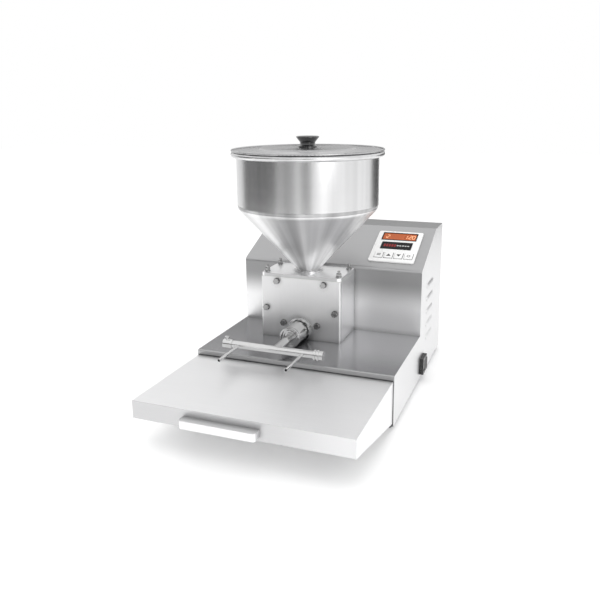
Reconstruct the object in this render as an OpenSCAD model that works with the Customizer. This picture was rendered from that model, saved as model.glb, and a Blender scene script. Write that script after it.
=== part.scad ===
// Bench-top filling machine for bakery goods: a gear pump under a steel hopper pushes
// filling through a manifold into two needles, above a pull-out tray.
// Millimetres. +X is to the operator's right, -Y is the front, +Z is up, the floor is z = 0.

/* [Base and column] */
// Width of the base and the column
base_w = 360; // [340:1:420]
// Depth of the deck in front of the column
deck_d = 205; // [200:1:260]
// Height of the deck above the underside of the base
deck_h = 88; // [84:1:110]
// Depth of the column at its foot
column_d = 204; // [200:1:260]
// Height of the column's upright front above the underside of the base
front_h = 212.5; // [206:0.5:240]
// Height of the column's flat top above the underside of the base
column_h = 270; // [262:1:290]
// Depth of the column's flat top
top_d = 71; // [60:1:74]
// Thickness of the sheet metal
sheet_t = 1.2; // [1:0.1:1.5]
// Outside radius of the folds in the sheet
fold_r = 8; // [3:0.5:10]
// Outside radius of the bend along the deck's front edge
edge_r = 2.4; // [2:0.1:4]
// Height of the folded lip under the deck's front edge
lip_h = 8; // [5:0.5:8]
// Width of the return flanges that carry the covers
flange_w = 12; // [10:0.5:13]
// Height of the rubber feet
foot_h = 7; // [5:0.5:12]
// Radius of the rubber feet
foot_r = 8; // [6:0.5:9]

/* [Louvres] */
// Number of louvre slots in each side
louvre_n = 5; // [2:1:5]
// Length of a louvre slot
louvre_l = 62; // [40:1:80]
// Height of a louvre slot
louvre_h = 4.5; // [3:0.5:6]
// Distance between louvre slots
louvre_pitch = 26; // [18:1:27]
// Height of the top louvre above the underside of the base
louvre_top = 170; // [150:1:180]

/* [Tray] */
// How far the tray stands out of the base at rest
tray_out = 205; // [190:1:205]
// Step from the deck down to the tray
tray_drop = 9.2; // [8.5:0.1:12]
// Height of the tray's front flange
tray_flange_h = 28.8; // [24:0.2:32]
// Height of the tray's deep rear corners above the underside of the base
tray_rear_gap = 5; // [4:0.5:15]
// Gap between the tray's sides and the base
tray_side_gap = 0.5; // [0.3:0.1:0.8]
// Travel of the tray
tray_travel = 200; // [150:1:200]
// Width of the tray's handle
handle_w = 124; // [80:1:170]
// Height of the handle's front bar
handle_h = 12.5; // [10:0.5:15]
// Stand-off of the handle in front of the tray
handle_out = 16; // [12:0.5:24]
// Thickness of the handle
handle_t = 2.5; // [2:0.1:3]
// Height of the handle's lower edge above the flange's lower edge
handle_up = 5.5; // [4:0.5:8]

/* [Slides] */
// Height of the tray's slides
slide_h = 26; // [22:0.5:28]
// Thickness of the tray's slides
slide_w = 12; // [11:0.5:13]
// Running gap between the members of a slide
slide_gap = 0.4; // [0.3:0.05:0.5]

/* [Pump] */
// Place of the pump's middle to the left of the base's middle
pump_left = 27; // [10:1:40]
// Width of the pump
pump_w = 155.5; // [154:0.5:170]
// Depth of the pump in front of the column
pump_d = 90; // [88:1:98]
// Height of the pump block
block_h = 115; // [112:0.5:117]
// Thickness of the pump's front cover
cover_t = 8.2; // [8:0.1:10]
// Thickness of the gaskets
gasket_t = 0.8; // [0.5:0.1:1]
// Thickness of the plate that carries the hopper
plate_t = 6.2; // [5:0.1:8]
// Number of teeth on each pump gear
gear_teeth = 10; // [10:2:10]
// Module of the pump gears
gear_module = 4; // [3.6:0.1:4]
// Width of the pump gears
gear_w = 50; // [40:1:52]
// Radius of the pump shafts
shaft_r = 8; // [7:0.5:9]
// Wall of the shaft bushes
bush_t = 3; // [2:0.5:3]
// Radius of the inlet port under the hopper
inlet_r = 14; // [10:0.5:14]
// Radius of the outlet port
outlet_r = 7; // [5:0.5:7]
// Height of the outlet's axis above the deck
outlet_up = 19.5; // [18:0.5:20]

/* [Outlet and needles] */
// Radius of the outlet fitting's collar
collar_r = 23; // [20:0.5:24]
// Thickness of the collar
collar_t = 11; // [8:0.5:12]
// Length of the union nut
nut_l = 40; // [30:1:44]
// Radius of the union nut
nut_r = 19; // [17:0.5:20]
// Radius of the outlet pipe
pipe_r = 7.5; // [6.5:0.5:9]
// Distance of the manifold's axis behind the deck's front edge, below zero in front of it
manifold_in = -2; // [-4:0.5:12]
// Radius of the manifold tube
manifold_r = 6.8; // [5.5:0.1:7.2]
// Length of the manifold to the left of the pump's middle
manifold_left = 97; // [90:1:110]
// Length of the manifold to the right of the pump's middle
manifold_right = 86; // [75:1:100]
// Distance of the left needle from the pump's middle
needle_left = 68; // [40:1:72]
// Distance of the right needle from the pump's middle
needle_right = 51; // [40:1:56]
// Radius of the needles
needle_r = 2.6; // [1.6:0.1:3]
// Length of the needles in front of the manifold
needle_l = 70; // [50:1:90]

/* [Hopper] */
// Outside radius of the hopper's cylinder
hopper_r = 130; // [110:1:132]
// Outside radius of the hopper's neck
neck_r = 20; // [18:0.5:24]
// Height of the hopper's cone
cone_h = 119; // [100:1:140]
// Height of the hopper from the cone to the rolled rim
cylinder_h = 93; // [60:1:120]
// Radius of the rolled rim's wire
bead_r = 5; // [4:0.5:6]
// Outside radius of the disc around the hopper's neck
disc_r = 27; // [25:1:40]
// Height of the raised middle of the lid above its edge
lid_rise = 5; // [3:0.5:8]
// Radius of the raised middle of the lid
lid_step_r = 90; // [60:1:100]
// Height of the lid's knob
knob_h = 20; // [18:0.5:32]
// Radius of the knob's top
knob_r = 21; // [16:0.5:24]

/* [Control panel] */
// Width of the control panel
panel_w = 89; // [88:0.5:94]
// Length of the control panel up the slope
panel_l = 102; // [101:0.5:106]
// Distance of the panel's middle from the column's right side
panel_in = 65; // [62:1:75]
// Distance of the panel's lower edge up the slope
panel_up = 21; // [18:0.5:22]
// Thickness of the control panel
panel_t = 2.5; // [2:0.1:3]
// Width of the display
lcd_w = 66; // [50:1:68]
// Height of the display
lcd_h = 22; // [18:0.5:23]
// Width of the indicator strip
strip_w = 61; // [50:1:66]
// Height of the indicator strip
strip_h = 24; // [18:0.5:25]
// Width of a key
key_w = 15.5; // [13:0.5:16]
// Height of a key
key_h = 17; // [14:0.5:18]
// Distance between the keys
key_pitch = 19.4; // [19.2:0.1:20]
// How far the keys stand proud of the panel
key_proud = 1.6; // [1.2:0.1:2.5]
// Travel of a key
key_travel = 0.8; // [0.5:0.1:0.9]

/* [Power switch] */
// Length of the switch's frame
switch_l = 34; // [33:0.5:38]
// Height of the switch's frame
switch_h = 31.5; // [30:0.5:36]
// How far the switch's frame stands out of the side
switch_frame = 7.6; // [7:0.1:9]
// Tilt of the rocker to either side
rocker_tilt = 8; // [5:0.5:8]

/* [Hidden] */

$fn = 64;
SATIN = [0.74, 0.74, 0.75];
BRIGHT = [0.86, 0.86, 0.87];
MACHINED = [0.66, 0.67, 0.69];
GALVANISED = [0.60, 0.62, 0.64];
BLACK = [0.05, 0.05, 0.055];
WHITE = [0.93, 0.93, 0.92];
ORANGE = [0.80, 0.33, 0.15];
RUBBER = [0.08, 0.08, 0.08];
BRONZE = [0.62, 0.45, 0.22];
BOARD_GREEN = [0.07, 0.30, 0.16];
SEAL_WHITE = [0.85, 0.86, 0.84];

// Clearances between pieces that are fixed together, and between pieces that run
fit = 0.05;
loose = 0.3;
over = 1;

// Levels and planes of the base and the column
z_base = foot_h;
z_floor = z_base + sheet_t;
z_deck = z_base + deck_h;
z_fold = z_base + front_h;
z_top = z_base + column_h;
half_w = base_w / 2;
inner_w = half_w - sheet_t;
y_column = deck_d;
y_wall = y_column + sheet_t;
y_back = deck_d + column_d;
y_slope = y_back - top_d;
slope_a = atan((z_top - z_fold) / (y_slope - y_column));
z_lip = z_deck - lip_h;

// Screws of the housing: M4 with pan heads
screw_r = 2;
screw_head_r = 3.8;
screw_head_h = 2.4;
screw_l = 10;
flange_mid = flange_w / 2;

// Tray and slides
z_tray = z_deck - tray_drop;
tray_half = inner_w - tray_side_gap;
tray_inside = 10;
tray_side_end = 2;
tray_lip_h = 14;
slide_l = tray_travel;
slide_y = 4;
slide_end = slide_y + slide_l - over;
slide_t = 1.2;
z_slide = z_tray - sheet_t - slide_gap - slide_h;
slide_x = tray_half - sheet_t - slide_w;
bracket_foot = 18;
switch_gap = 7.5;
partition_gap = 11;
partition_foot = 14;
handle_r = 5;
handle_lip_t = 1.5;

// Pump: the drive gear's axis is right of the pump's middle, the driven gear's left of it
pump_x = -pump_left;
y_pump = y_column - pump_d;
y_block = y_pump + cover_t + gasket_t;
z_block = z_deck + block_h;
z_gear = z_deck + block_h / 2;
pitch_r = gear_module * gear_teeth / 2;
tip_r = pitch_r + 0.9 * gear_module;
root_r = pitch_r - 1.2 * gear_module;
pressure_a = 30;
tooth_gap = 0.3;
cavity_r = tip_r + loose;
end_gap = 0.1;
cavity_l = gear_w + 2 * end_gap;
drive_x = pump_x + pitch_r;
driven_x = pump_x - pitch_r;
bush_r = shaft_r + bush_t;
bush_l = 11.6;
front_bush_l = 5.8;
seal_r = bush_r + 3;
seal_l = 8;
z_outlet = z_deck + outlet_up;
bolt_r = 3;
bolt_af = 10;
bolt_head_h = 5;
bolt_l = 20;
bolt_grip = 12;
block_round = 3;
plate_round = 8;
// Cover bolts, as [distance from the pump's middle, height above the gears' axes]
cover_bolt_spots = [[46, 50.5], [67.5, -2], [33, -28.5]];
mount_bolt_x = 66;
mount_bolt_z = 20;

// Hopper seat and hopper
hopper_y = y_column - pump_d / 2;
z_plate = z_block + gasket_t;
z_seat = z_plate + plate_t;
stud_r = 2.5;
stud_x = pump_w / 2 - 7.25;
stud_front = y_block + 5.2;
stud_back = 2 * hopper_y - stud_front;
stud_depth = 12;
stud_out = 11;
stud_nut_h = 5;
stud_nut_af = 8.5;
hopper_t = 1.2;
disc_t = 2;
shoulder_r = 18;
z_neck = z_seat + disc_t;
z_cone = z_neck + cone_h;
z_rim = z_cone + cylinder_h;
rim_flare = 5;
bead_out = hopper_r + bead_r;
z_bead = z_rim + bead_r;
lid_t = 1;
lid_gap = 0.2;
lid_bead_r = 1.8;
lid_edge_r = bead_out + 3;
z_lid = z_bead + bead_r + lid_gap;
lid_skirt = 8;
lid_skirt_gap = 0.8;
z_knob = z_lid + lid_rise + lid_t;

// Outlet, union nut and manifold
y_collar = y_pump - collar_t;
nut_gap = 3;
y_nut = y_collar - nut_gap - nut_l;
barrel_r = nut_r - 3.5;
pipe_t = 1.2;
ferrule_r = barrel_r - 1;
ferrule_t = 4;
nut_face_t = 8;
barrel_l = nut_gap + nut_l - nut_face_t - ferrule_t;
groove_w = 1.8;
groove_in = 1.4;
manifold_y = manifold_in;
manifold_t = 1.4;
manifold_x0 = pump_x - manifold_left;
manifold_x1 = pump_x + manifold_right;
cap_l = 16;
cap_t = 1.2;
cap_ring_w = 2.6;
thumb_r = 1.3;

// Motor drive in the column
mount_t = 6;
mount_w = 148;
mount_h = 104;
y_mount = y_wall + mount_t;
standoff_l = 52;
standoff_r = 5.5;
standoff_off = 40;
y_motor_plate = y_mount + standoff_l;
motor_plate_t = 5;
motor_plate_w = 96;
shaft_hole_r = 17;
hub_r = 15;
hub_l = 17;
jaw_l = 7;
jaw_a = 38;
coupling_gap = 4.8;
y_hub = y_mount + coupling_gap;
y_jaw = y_hub + hub_l;
y_hub_2 = y_jaw + jaw_l + loose;
output_r = 6;
gearbox_w = 68;
gearbox_l = 45;
y_gearbox = y_motor_plate + motor_plate_t;
motor_r = 33;
motor_l = 68;
y_motor = y_gearbox + gearbox_l;

// Control panel, in the slope's own frame: x across, y up the slope, z out of it
panel_mid = panel_up + panel_l / 2;
panel_edge = 3.5;
frame_w = 2;
frame_proud = 0.4;
lcd_mid = panel_up + panel_l - 18;
strip_mid = lcd_mid - 31.5;
key_mid = strip_mid - 33.2;
key_shift = 2;
key_gap = 0.2;
key_flange = 1.2;
key_flange_t = 1.4;
key_stem_r = 2.5;
board_depth = 12;
board_t = 1.6;
switch_block_w = 6;
boss_r = 1.8;

// Power switch on the right side, its rocker turning about an upright pin
switch_cut = 13;
switch_y = slide_end + switch_gap + switch_cut;
switch_z = z_base + 26;
rocker_pin_h = 2.4;
switch_floor = 0.8;
rocker_pin_r = 1.5;
rocker_face_h = 5.3;
rocker_end_r = 13.8;
rocker_half = sqrt(rocker_end_r * rocker_end_r - rocker_face_h * rocker_face_h) - 0.4;
rocker_w = 22;
rocker_dip = 1.6;
switch_deep = 28;
switch_out = rocker_pin_h + rocker_face_h * cos(rocker_tilt) + rocker_half * sin(rocker_tilt);

// Power supply on the bottom plate
supply_w = 98;
supply_d = 82;
supply_h = 38;
supply_in = 50;
supply_back = 159;

// Power inlet in the rear cover
inlet_x = -120;
inlet_z = z_base + 46;
inlet_w = 50;
inlet_h = 31;
inlet_t = 3;
inlet_deep = 24;

// The origin stands under the middle of the whole machine
mid_x = switch_out / 2;
mid_y = (y_back + inlet_t - tray_out - handle_out) / 2;

// ---------------------------------------------------------------- shared shapes

// Moves the machine so that its middle is over the origin
module placed() {
    translate([-mid_x, -mid_y, 0]) children();
}

// A box between two corners
module span_box(a, b) {
    translate(a) cube(b - a);
}

// A cylinder along +Y from y0 to y1
module y_rod(x, z, r, y0, y1) {
    translate([x, y0, z]) rotate([-90, 0, 0]) cylinder(r = r, h = y1 - y0);
}

// A cylinder along +X from x0 to x1
module x_rod(y, z, r, x0, x1) {
    translate([x0, y, z]) rotate([0, 90, 0]) cylinder(r = r, h = x1 - x0);
}

// An outline in (y, z), extruded along X from x0 to x1
module x_slab(outline, x0, x1) {
    translate([x0, 0, 0]) rotate([90, 0, 90]) linear_extrude(x1 - x0) polygon(outline);
}

// Points of an arc, and a corner between two straight edges rounded to a radius
function arc(c, r, a0, a1, n = 8) =
    [for (i = [0 : n]) let (a = a0 + (a1 - a0) * i / n) c + r * [cos(a), sin(a)]];

// A rectangle with rounded corners, from one corner to the other
function round_rect(a, b, r, n = 6) = concat(
    arc([b[0] - r, b[1] - r], r, 0, 90, n),
    arc([a[0] + r, b[1] - r], r, 90, 180, n),
    arc([a[0] + r, a[1] + r], r, 180, 270, n),
    arc([b[0] - r, a[1] + r], r, 270, 360, n));

// A hexagon prism along +Z with a stud hole or none
module hex(af, h) {
    cylinder(r = af / sqrt(3), h = h, $fn = 6);
}

// A pan-head screw that points along +Z, its head below z = 0
module pan_screw() {
    cylinder(r = screw_r, h = screw_l);
    translate([0, 0, -screw_head_h]) cylinder(r1 = screw_head_r * 0.8, r2 = screw_head_r,
        h = screw_head_h);
}

// Copies children to both sides of a middle plane
module both_sides(x = 0) {
    for (side = [-1, 1]) translate([x, 0, 0]) scale([side, 1, 1]) children();
}

// The four spots of a rectangle in X and Z around a point
module four_spots(x, z, dx, dz) {
    for (sx = [-1, 1], sz = [-1, 1]) translate([x + sx * dx, 0, z + sz * dz]) children();
}

// ---------------------------------------------------------------- base and column

// Side outline of the housing, drawn in by t from its outside faces
function housing_outline(t) =
    let (
        r = fold_r - t,
        rise = tan(slope_a),
        lean = t / cos(slope_a),
        y0 = y_column + t,
        z0 = z_fold + (y0 - y_column) * rise - lean,
        z1 = z_top - t,
        y1 = y_column + (z1 + lean - z_fold) / rise,
        bend = (90 - slope_a) / 2,
        run0 = r * tan(bend),
        run1 = r * tan(slope_a / 2))
    concat(
        [[t, z_base - (t > 0 ? over : 0)]],
        arc([edge_r, z_deck - edge_r], edge_r - t, 180, 90, 4),
        [[y0, z_deck - t]],
        arc([y0 + r, z0 - run0], r, 180, 90 + slope_a),
        arc([y1 + run1, z1 - r], r, 90 + slope_a, 90),
        [[y_back + (t > 0 ? over : 0), z1], [y_back + (t > 0 ? over : 0), z_base - (t > 0 ? over : 0)]]);

module louvre_slots() {
    y0 = y_column + 53;
    for (i = [0 : louvre_n - 1]) {
        z = z_base + louvre_top - i * louvre_pitch;
        for (side = [-1, 1]) {
            span_box([side * half_w - 2 * sheet_t, y0, z - louvre_h / 2],
                [side * half_w + 2 * sheet_t, y0 + louvre_l, z + louvre_h / 2]);
            for (end = [0, 1])
                x_rod(y0 + end * louvre_l, z, louvre_h / 2,
                    side * half_w - 2 * sheet_t, side * half_w + 2 * sheet_t);
        }
    }
}

// Places of the rear cover's screws, as [x, z]
rear_screw_x = inner_w - flange_mid;
rear_screw_spots = [for (sx = [-1, 1], z = [z_base + 40, (z_base + z_top) / 2, z_top - 30])
    [sx * rear_screw_x, z]];
// Places of the bottom plate's screws, as [x, y]
bottom_screw_spots = [for (sx = [-1, 1], y = [60, y_column + 60]) [sx * rear_screw_x, y]];

module on_slope() {
    translate([half_w - panel_in, y_column, z_fold]) rotate([slope_a, 0, 0]) children();
}

module housing() {
    cover_y = y_back - sheet_t;
    color(SATIN) placed() difference() {
        union() {
            difference() {
                x_slab(housing_outline(0), -half_w, half_w);
                x_slab(housing_outline(sheet_t), -inner_w, inner_w);
            }
            // Return flanges behind the rear cover and above the bottom plate
            difference() {
                span_box([-inner_w - sheet_t / 2, cover_y - sheet_t, z_floor],
                    [inner_w + sheet_t / 2, cover_y, z_top - sheet_t / 2]);
                span_box([-inner_w + flange_w, cover_y - sheet_t - over, z_floor - over],
                    [inner_w - flange_w, cover_y + over, z_top - sheet_t - flange_w]);
            }
            for (side = [-1, 1])
                span_box([side > 0 ? inner_w - flange_w : -inner_w - sheet_t / 2,
                        2 * flange_w, z_floor],
                    [side > 0 ? inner_w + sheet_t / 2 : -inner_w + flange_w,
                        cover_y - sheet_t / 2, z_floor + sheet_t]);
        }
        span_box([-inner_w, -over, z_base - over], [inner_w, 2 * sheet_t, z_lip]);
        louvre_slots();
        // Shaft hole and pump bolt holes in the column's front
        y_rod(drive_x, z_gear, shaft_hole_r, y_column - over, y_wall + over);
        four_spots(pump_x, z_gear, mount_bolt_x, mount_bolt_z)
            y_rod(0, 0, bolt_r + loose, y_column - over, y_wall + over);
        // Window for the control panel's back
        on_slope() span_box([-panel_w / 2 + panel_edge, panel_up + panel_edge, -2 * fold_r],
            [panel_w / 2 - panel_edge, panel_up + panel_l - panel_edge, over]);
        // Cut-out for the power switch
        span_box([inner_w - over, switch_y - switch_cut - loose, switch_z - rocker_w / 2 - loose],
            [half_w + over, switch_y + switch_cut + loose, switch_z + rocker_w / 2 + loose]);
        for (p = rear_screw_spots) y_rod(p[0], p[1], screw_r + fit, cover_y - 3, cover_y + over);
        for (p = bottom_screw_spots)
            translate([p[0], p[1], z_floor - over]) cylinder(r = screw_r + fit, h = 4);
    }
}

module bottom_plate() {
    color(GALVANISED) placed() difference() {
        span_box([-inner_w + loose, loose, z_base],
            [inner_w - loose, y_back - sheet_t - loose, z_floor]);
        for (p = bottom_screw_spots)
            translate([p[0], p[1], z_base - over]) cylinder(r = screw_r + loose, h = 4);
    }
}

module rear_cover() {
    slot_n = 9;
    slot_w = 4;
    slot_h = 50;
    slot_pitch = 12;
    color(SATIN) placed() difference() {
        span_box([-inner_w + loose, y_back - sheet_t, z_base],
            [inner_w - loose, y_back, z_top - sheet_t - loose]);
        for (p = rear_screw_spots)
            y_rod(p[0], p[1], screw_r + loose, y_back - 3, y_back + over);
        for (i = [0 : slot_n - 1]) {
            x = (i - (slot_n - 1) / 2) * slot_pitch;
            span_box([x - slot_w / 2, y_back - 3, z_gear - slot_h / 2],
                [x + slot_w / 2, y_back + over, z_gear + slot_h / 2]);
        }
        span_box([inlet_x - inlet_w / 2 + 2, y_back - 3, inlet_z - inlet_h / 2 + 2],
            [inlet_x + inlet_w / 2 - 2, y_back + over, inlet_z + inlet_h / 2 - 2]);
    }
}

// The housing's screws and the screws of the motor plate, which are the same size
module pan_screws() {
    color(BRIGHT) placed() {
        four_spots(drive_x, z_gear, standoff_off, standoff_off)
            translate([0, y_gearbox, 0]) rotate([90, 0, 0]) pan_screw();
        for (p = rear_screw_spots)
            translate([p[0], y_back, p[1]]) rotate([90, 0, 0]) pan_screw();
        for (p = bottom_screw_spots) translate([p[0], p[1], z_base]) pan_screw();
    }
}

module feet() {
    foot_in = foot_r + 4;
    color(RUBBER) placed()
        for (x = [-half_w + foot_in, half_w - foot_in], y = [foot_in + 2, y_back - foot_in - 4])
            translate([x, y, 0]) cylinder(r1 = foot_r * 0.85, r2 = foot_r, h = foot_h);
}

module bay_partition() {
    y0 = slide_end + partition_gap;
    x0 = -inner_w + flange_w + over;
    x1 = half_w - switch_deep - 6;
    z1 = z_deck - sheet_t - fit;
    color(GALVANISED) placed() {
        span_box([x0, y0, z_floor], [x1, y0 + sheet_t, z1]);
        span_box([x0, y0, z_floor], [x1, y0 + partition_foot, z_floor + sheet_t]);
        span_box([x0, y_column - partition_foot, z1 - sheet_t], [x1, y0 + sheet_t, z1]);
    }
}

// ---------------------------------------------------------------- tray and slides

module rail_brackets() {
    color(GALVANISED) placed() both_sides() {
        span_box([slide_x - sheet_t, slide_y, z_floor],
            [slide_x, slide_end, z_slide + slide_h]);
        span_box([slide_x - bracket_foot, slide_y, z_floor],
            [slide_x, slide_end, z_floor + sheet_t]);
    }
}

// A channel: web on one side, two flanges
module channel(x_web, x_open, y0, z0, z1) {
    web = x_web < x_open ? slide_t : -slide_t;
    span_box([min(x_web, x_web + web), y0, z0], [max(x_web, x_web + web), y0 + slide_l - over, z1]);
    for (z = [z0, z1 - slide_t])
        span_box([min(x_web, x_open), y0, z],
            [max(x_web, x_open), y0 + slide_l - over, z + slide_t]);
}

module outer_rails() {
    color(MACHINED) placed() both_sides()
        channel(slide_x, slide_x + slide_w - 2, slide_y, z_slide, z_slide + slide_h);
}

module middle_rails() {
    inset = slide_t + slide_gap;
    color(MACHINED) placed() both_sides()
        channel(slide_x + inset, slide_x + slide_w - slide_t - slide_gap,
            slide_y - tray_travel / 2, z_slide + inset, z_slide + slide_h - inset);
}

module inner_rails() {
    inset = 2 * (slide_t + slide_gap);
    color(MACHINED) placed() both_sides()
        channel(slide_x + slide_w, slide_x + inset,
            slide_y - tray_travel, z_slide + inset, z_slide + slide_h - inset);
}

module tray() {
    side = [
        [-tray_out, z_tray], [-tray_out, z_tray - tray_flange_h],
        [0, z_base + tray_rear_gap], [tray_side_end, z_base + tray_rear_gap],
        [tray_side_end, z_tray]];
    color(SATIN) placed() {
        span_box([-tray_half, -tray_out, z_tray - sheet_t], [tray_half, tray_inside, z_tray]);
        span_box([-tray_half, -tray_out, z_tray - tray_flange_h],
            [tray_half, -tray_out + sheet_t, z_tray]);
        x_slab(side, -tray_half, -tray_half + sheet_t);
        x_slab(side, tray_half - sheet_t, tray_half);
        span_box([-slide_x + 4, tray_inside - sheet_t, z_tray - tray_lip_h],
            [slide_x - 4, tray_inside, z_tray]);
    }
}

module tray_handle() {
    z0 = z_tray - tray_flange_h + handle_up;
    y0 = -tray_out - handle_out;
    x0 = pump_x - handle_w / 2;
    x1 = pump_x + handle_w / 2;
    inner_r = handle_r - handle_t;
    outside = concat([[x1, -tray_out], [x0, -tray_out]],
        arc([x0 + handle_r, y0 + handle_r], handle_r, 180, 270),
        arc([x1 - handle_r, y0 + handle_r], handle_r, 270, 360));
    inside = concat([[x1 - handle_t, -tray_out + over], [x0 + handle_t, -tray_out + over]],
        arc([x0 + handle_r, y0 + handle_r], inner_r, 180, 270),
        arc([x1 - handle_r, y0 + handle_r], inner_r, 270, 360));
    color(SATIN) placed() {
        translate([0, 0, z0]) linear_extrude(handle_h) difference() {
            polygon(outside);
            polygon(inside);
        }
        span_box([x0 + handle_t / 2, y0 + handle_t / 2, z0 + handle_h - handle_lip_t],
            [x1 - handle_t / 2, -tray_out, z0 + handle_h]);
    }
}

// ---------------------------------------------------------------- pump

// Angle between a point on an involute and its start, for the pressure angle there
function involute(a) = tan(a) * 180 / PI - a;

// Outline of a gear with a tooth on its +X side
function gear_outline(teeth, r, tip, root, base) =
    let (
        half = 90 / teeth - tooth_gap / r * 180 / PI,
        start = half + involute(pressure_a),
        steps = 5,
        flank = [for (i = [0 : steps])
            let (q = max(base, root) + (tip - max(base, root)) * i / steps)
            [q, start - involute(acos(min(1, base / q)))]])
    [for (k = [0 : teeth - 1], p = concat(
            [[root, -start - 1.5]],
            [for (f = flank) [f[0], -f[1]]],
            [for (i = [steps : -1 : 0]) flank[i]],
            [[root, start + 1.5]]))
        let (a = k * 360 / teeth + p[1]) p[0] * [cos(a), sin(a)]];

module pump_gear(x, turn) {
    translate([x, y_block + end_gap, z_gear]) rotate([-90, 0, 0]) difference() {
        linear_extrude(gear_w) rotate(turn)
            polygon(gear_outline(gear_teeth, pitch_r, tip_r, root_r, pitch_r * cos(pressure_a)));
        translate([0, 0, -over]) cylinder(r = shaft_r + fit / 5, h = gear_w + 2 * over);
    }
}

module drive_gear() {
    color(BRIGHT) placed() pump_gear(drive_x, 0);
}

module driven_gear() {
    color(BRIGHT) placed() pump_gear(driven_x, 180 / gear_teeth);
}

module drive_shaft() {
    color(BRIGHT) placed()
        y_rod(drive_x, z_gear, shaft_r, y_block - gasket_t - front_bush_l + 0.4, y_jaw);
}

module driven_shaft() {
    color(BRIGHT) placed()
        y_rod(driven_x, z_gear, shaft_r, y_block - gasket_t - front_bush_l + 0.4,
            y_block + cavity_l + bush_l);
}

// Plain round bolt holes of the cover, from y0 to y1
module cover_bolt_holes(r, y0, y1) {
    for (p = cover_bolt_spots, side = [-1, 1])
        y_rod(pump_x + side * p[0], z_gear + p[1], r, y0, y1);
}

module pump_body() {
    y1 = y_block + cavity_l;
    port_y = y_block + cavity_l - inlet_r - 0.2;
    channel_y = y_block + cavity_l / 2;
    color(MACHINED) placed() difference() {
        translate([0, 0, z_deck]) linear_extrude(block_h)
            polygon(concat(
                [[pump_x - pump_w / 2, y_column], [pump_x - pump_w / 2, y_block],
                    [pump_x + pump_w / 2, y_block], [pump_x + pump_w / 2, y_column]]));
        // Cavity for the two gears
        for (x = [drive_x, driven_x]) {
            y_rod(x, z_gear, cavity_r, y_block - over, y1);
            y_rod(x, z_gear, bush_r, y1 - over, y1 + bush_l + loose);
        }
        // Inlet from the hopper and outlet to the front
        translate([pump_x, hopper_y, z_gear + 8]) cylinder(r = inlet_r, h = block_h / 2);
        translate([pump_x, hopper_y, z_block - 6])
            cylinder(r1 = inlet_r, r2 = neck_r - hopper_t, h = 6 + fit);
        translate([pump_x, channel_y, z_outlet]) cylinder(r = outlet_r, h = z_gear - z_outlet - 8);
        y_rod(pump_x, z_outlet, outlet_r, y_block - over, channel_y);
        // Shaft way and seal seat through the rear wall
        y_rod(drive_x, z_gear, shaft_r + 1, y1, y_column + over);
        y_rod(drive_x, z_gear, seal_r, y_column - seal_l, y_column + over);
        cover_bolt_holes(bolt_r + fit, y_block - over, y_block + bolt_grip + over);
        four_spots(pump_x, z_gear, mount_bolt_x, mount_bolt_z)
            y_rod(0, 0, bolt_r + fit, y_column - bolt_grip - over, y_column + over);
        for (sx = [-1, 1], y = [stud_front, stud_back])
            translate([pump_x + sx * stud_x, y, z_block - stud_depth])
                cylinder(r = stud_r + fit, h = stud_depth + over);
    }
}

module pump_gasket() {
    y0 = y_block - gasket_t;
    color(SEAL_WHITE) placed() difference() {
        span_box([pump_x - pump_w / 2 + 1, y0, z_deck + 1],
            [pump_x + pump_w / 2 - 1, y_block, z_block - 1]);
        for (x = [drive_x, driven_x]) y_rod(x, z_gear, cavity_r, y0 - over, y_block + over);
        y_rod(pump_x, z_outlet, outlet_r, y0 - over, y_block + over);
        cover_bolt_holes(bolt_r + loose, y0 - over, y_block + over);
    }
}

module pump_cover() {
    y1 = y_block - gasket_t;
    color(SATIN) placed() difference() {
        translate([0, 0, z_deck]) linear_extrude(block_h)
            polygon(concat(
                [[pump_x + pump_w / 2, y1], [pump_x - pump_w / 2, y1]],
                arc([pump_x - pump_w / 2 + block_round, y_pump + block_round],
                    block_round, 180, 270),
                arc([pump_x + pump_w / 2 - block_round, y_pump + block_round],
                    block_round, 270, 360)));
        for (x = [drive_x, driven_x]) y_rod(x, z_gear, bush_r, y1 - front_bush_l, y1 + over);
        y_rod(pump_x, z_outlet, outlet_r, y_pump - over, y1 + over);
        cover_bolt_holes(bolt_r + loose, y_pump - over, y1 + over);
    }
}

// A hexagon bolt that points along +Z, with a washer under its head
module hex_bolt() {
    cylinder(r = bolt_r, h = bolt_l);
    translate([0, 0, -1]) cylinder(r = bolt_af / 2 + 1, h = 1);
    translate([0, 0, -1 - bolt_head_h]) hex(bolt_af, bolt_head_h);
}

// The bolts of the pump's cover and, from inside the column, of its mount plate
module hex_bolts() {
    color(BRIGHT) placed() {
        for (p = cover_bolt_spots, side = [-1, 1])
            translate([pump_x + side * p[0], y_pump, z_gear + p[1]]) rotate([-90, 0, 0])
                hex_bolt();
        four_spots(pump_x, z_gear, mount_bolt_x, mount_bolt_z)
            translate([0, y_mount, 0]) rotate([90, 0, 0]) hex_bolt();
    }
}

module pump_mount_plate() {
    color(GALVANISED) placed() difference() {
        span_box([pump_x - mount_w / 2, y_wall, z_gear - mount_h / 2],
            [pump_x + mount_w / 2, y_mount, z_gear + mount_h / 2]);
        y_rod(drive_x, z_gear, shaft_hole_r, y_wall - over, y_mount + over);
        four_spots(pump_x, z_gear, mount_bolt_x, mount_bolt_z)
            y_rod(0, 0, bolt_r + loose, y_wall - over, y_mount + over);
    }
}

module bush(x, y0, l) {
    difference() {
        y_rod(x, z_gear, bush_r, y0, y0 + l);
        y_rod(x, z_gear, shaft_r + fit, y0 - over, y0 + l + over);
    }
}

module shaft_bushes() {
    color(BRONZE) placed() for (x = [drive_x, driven_x]) {
        bush(x, y_block - gasket_t - front_bush_l, front_bush_l);
        bush(x, y_block + cavity_l, bush_l);
    }
}

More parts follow.
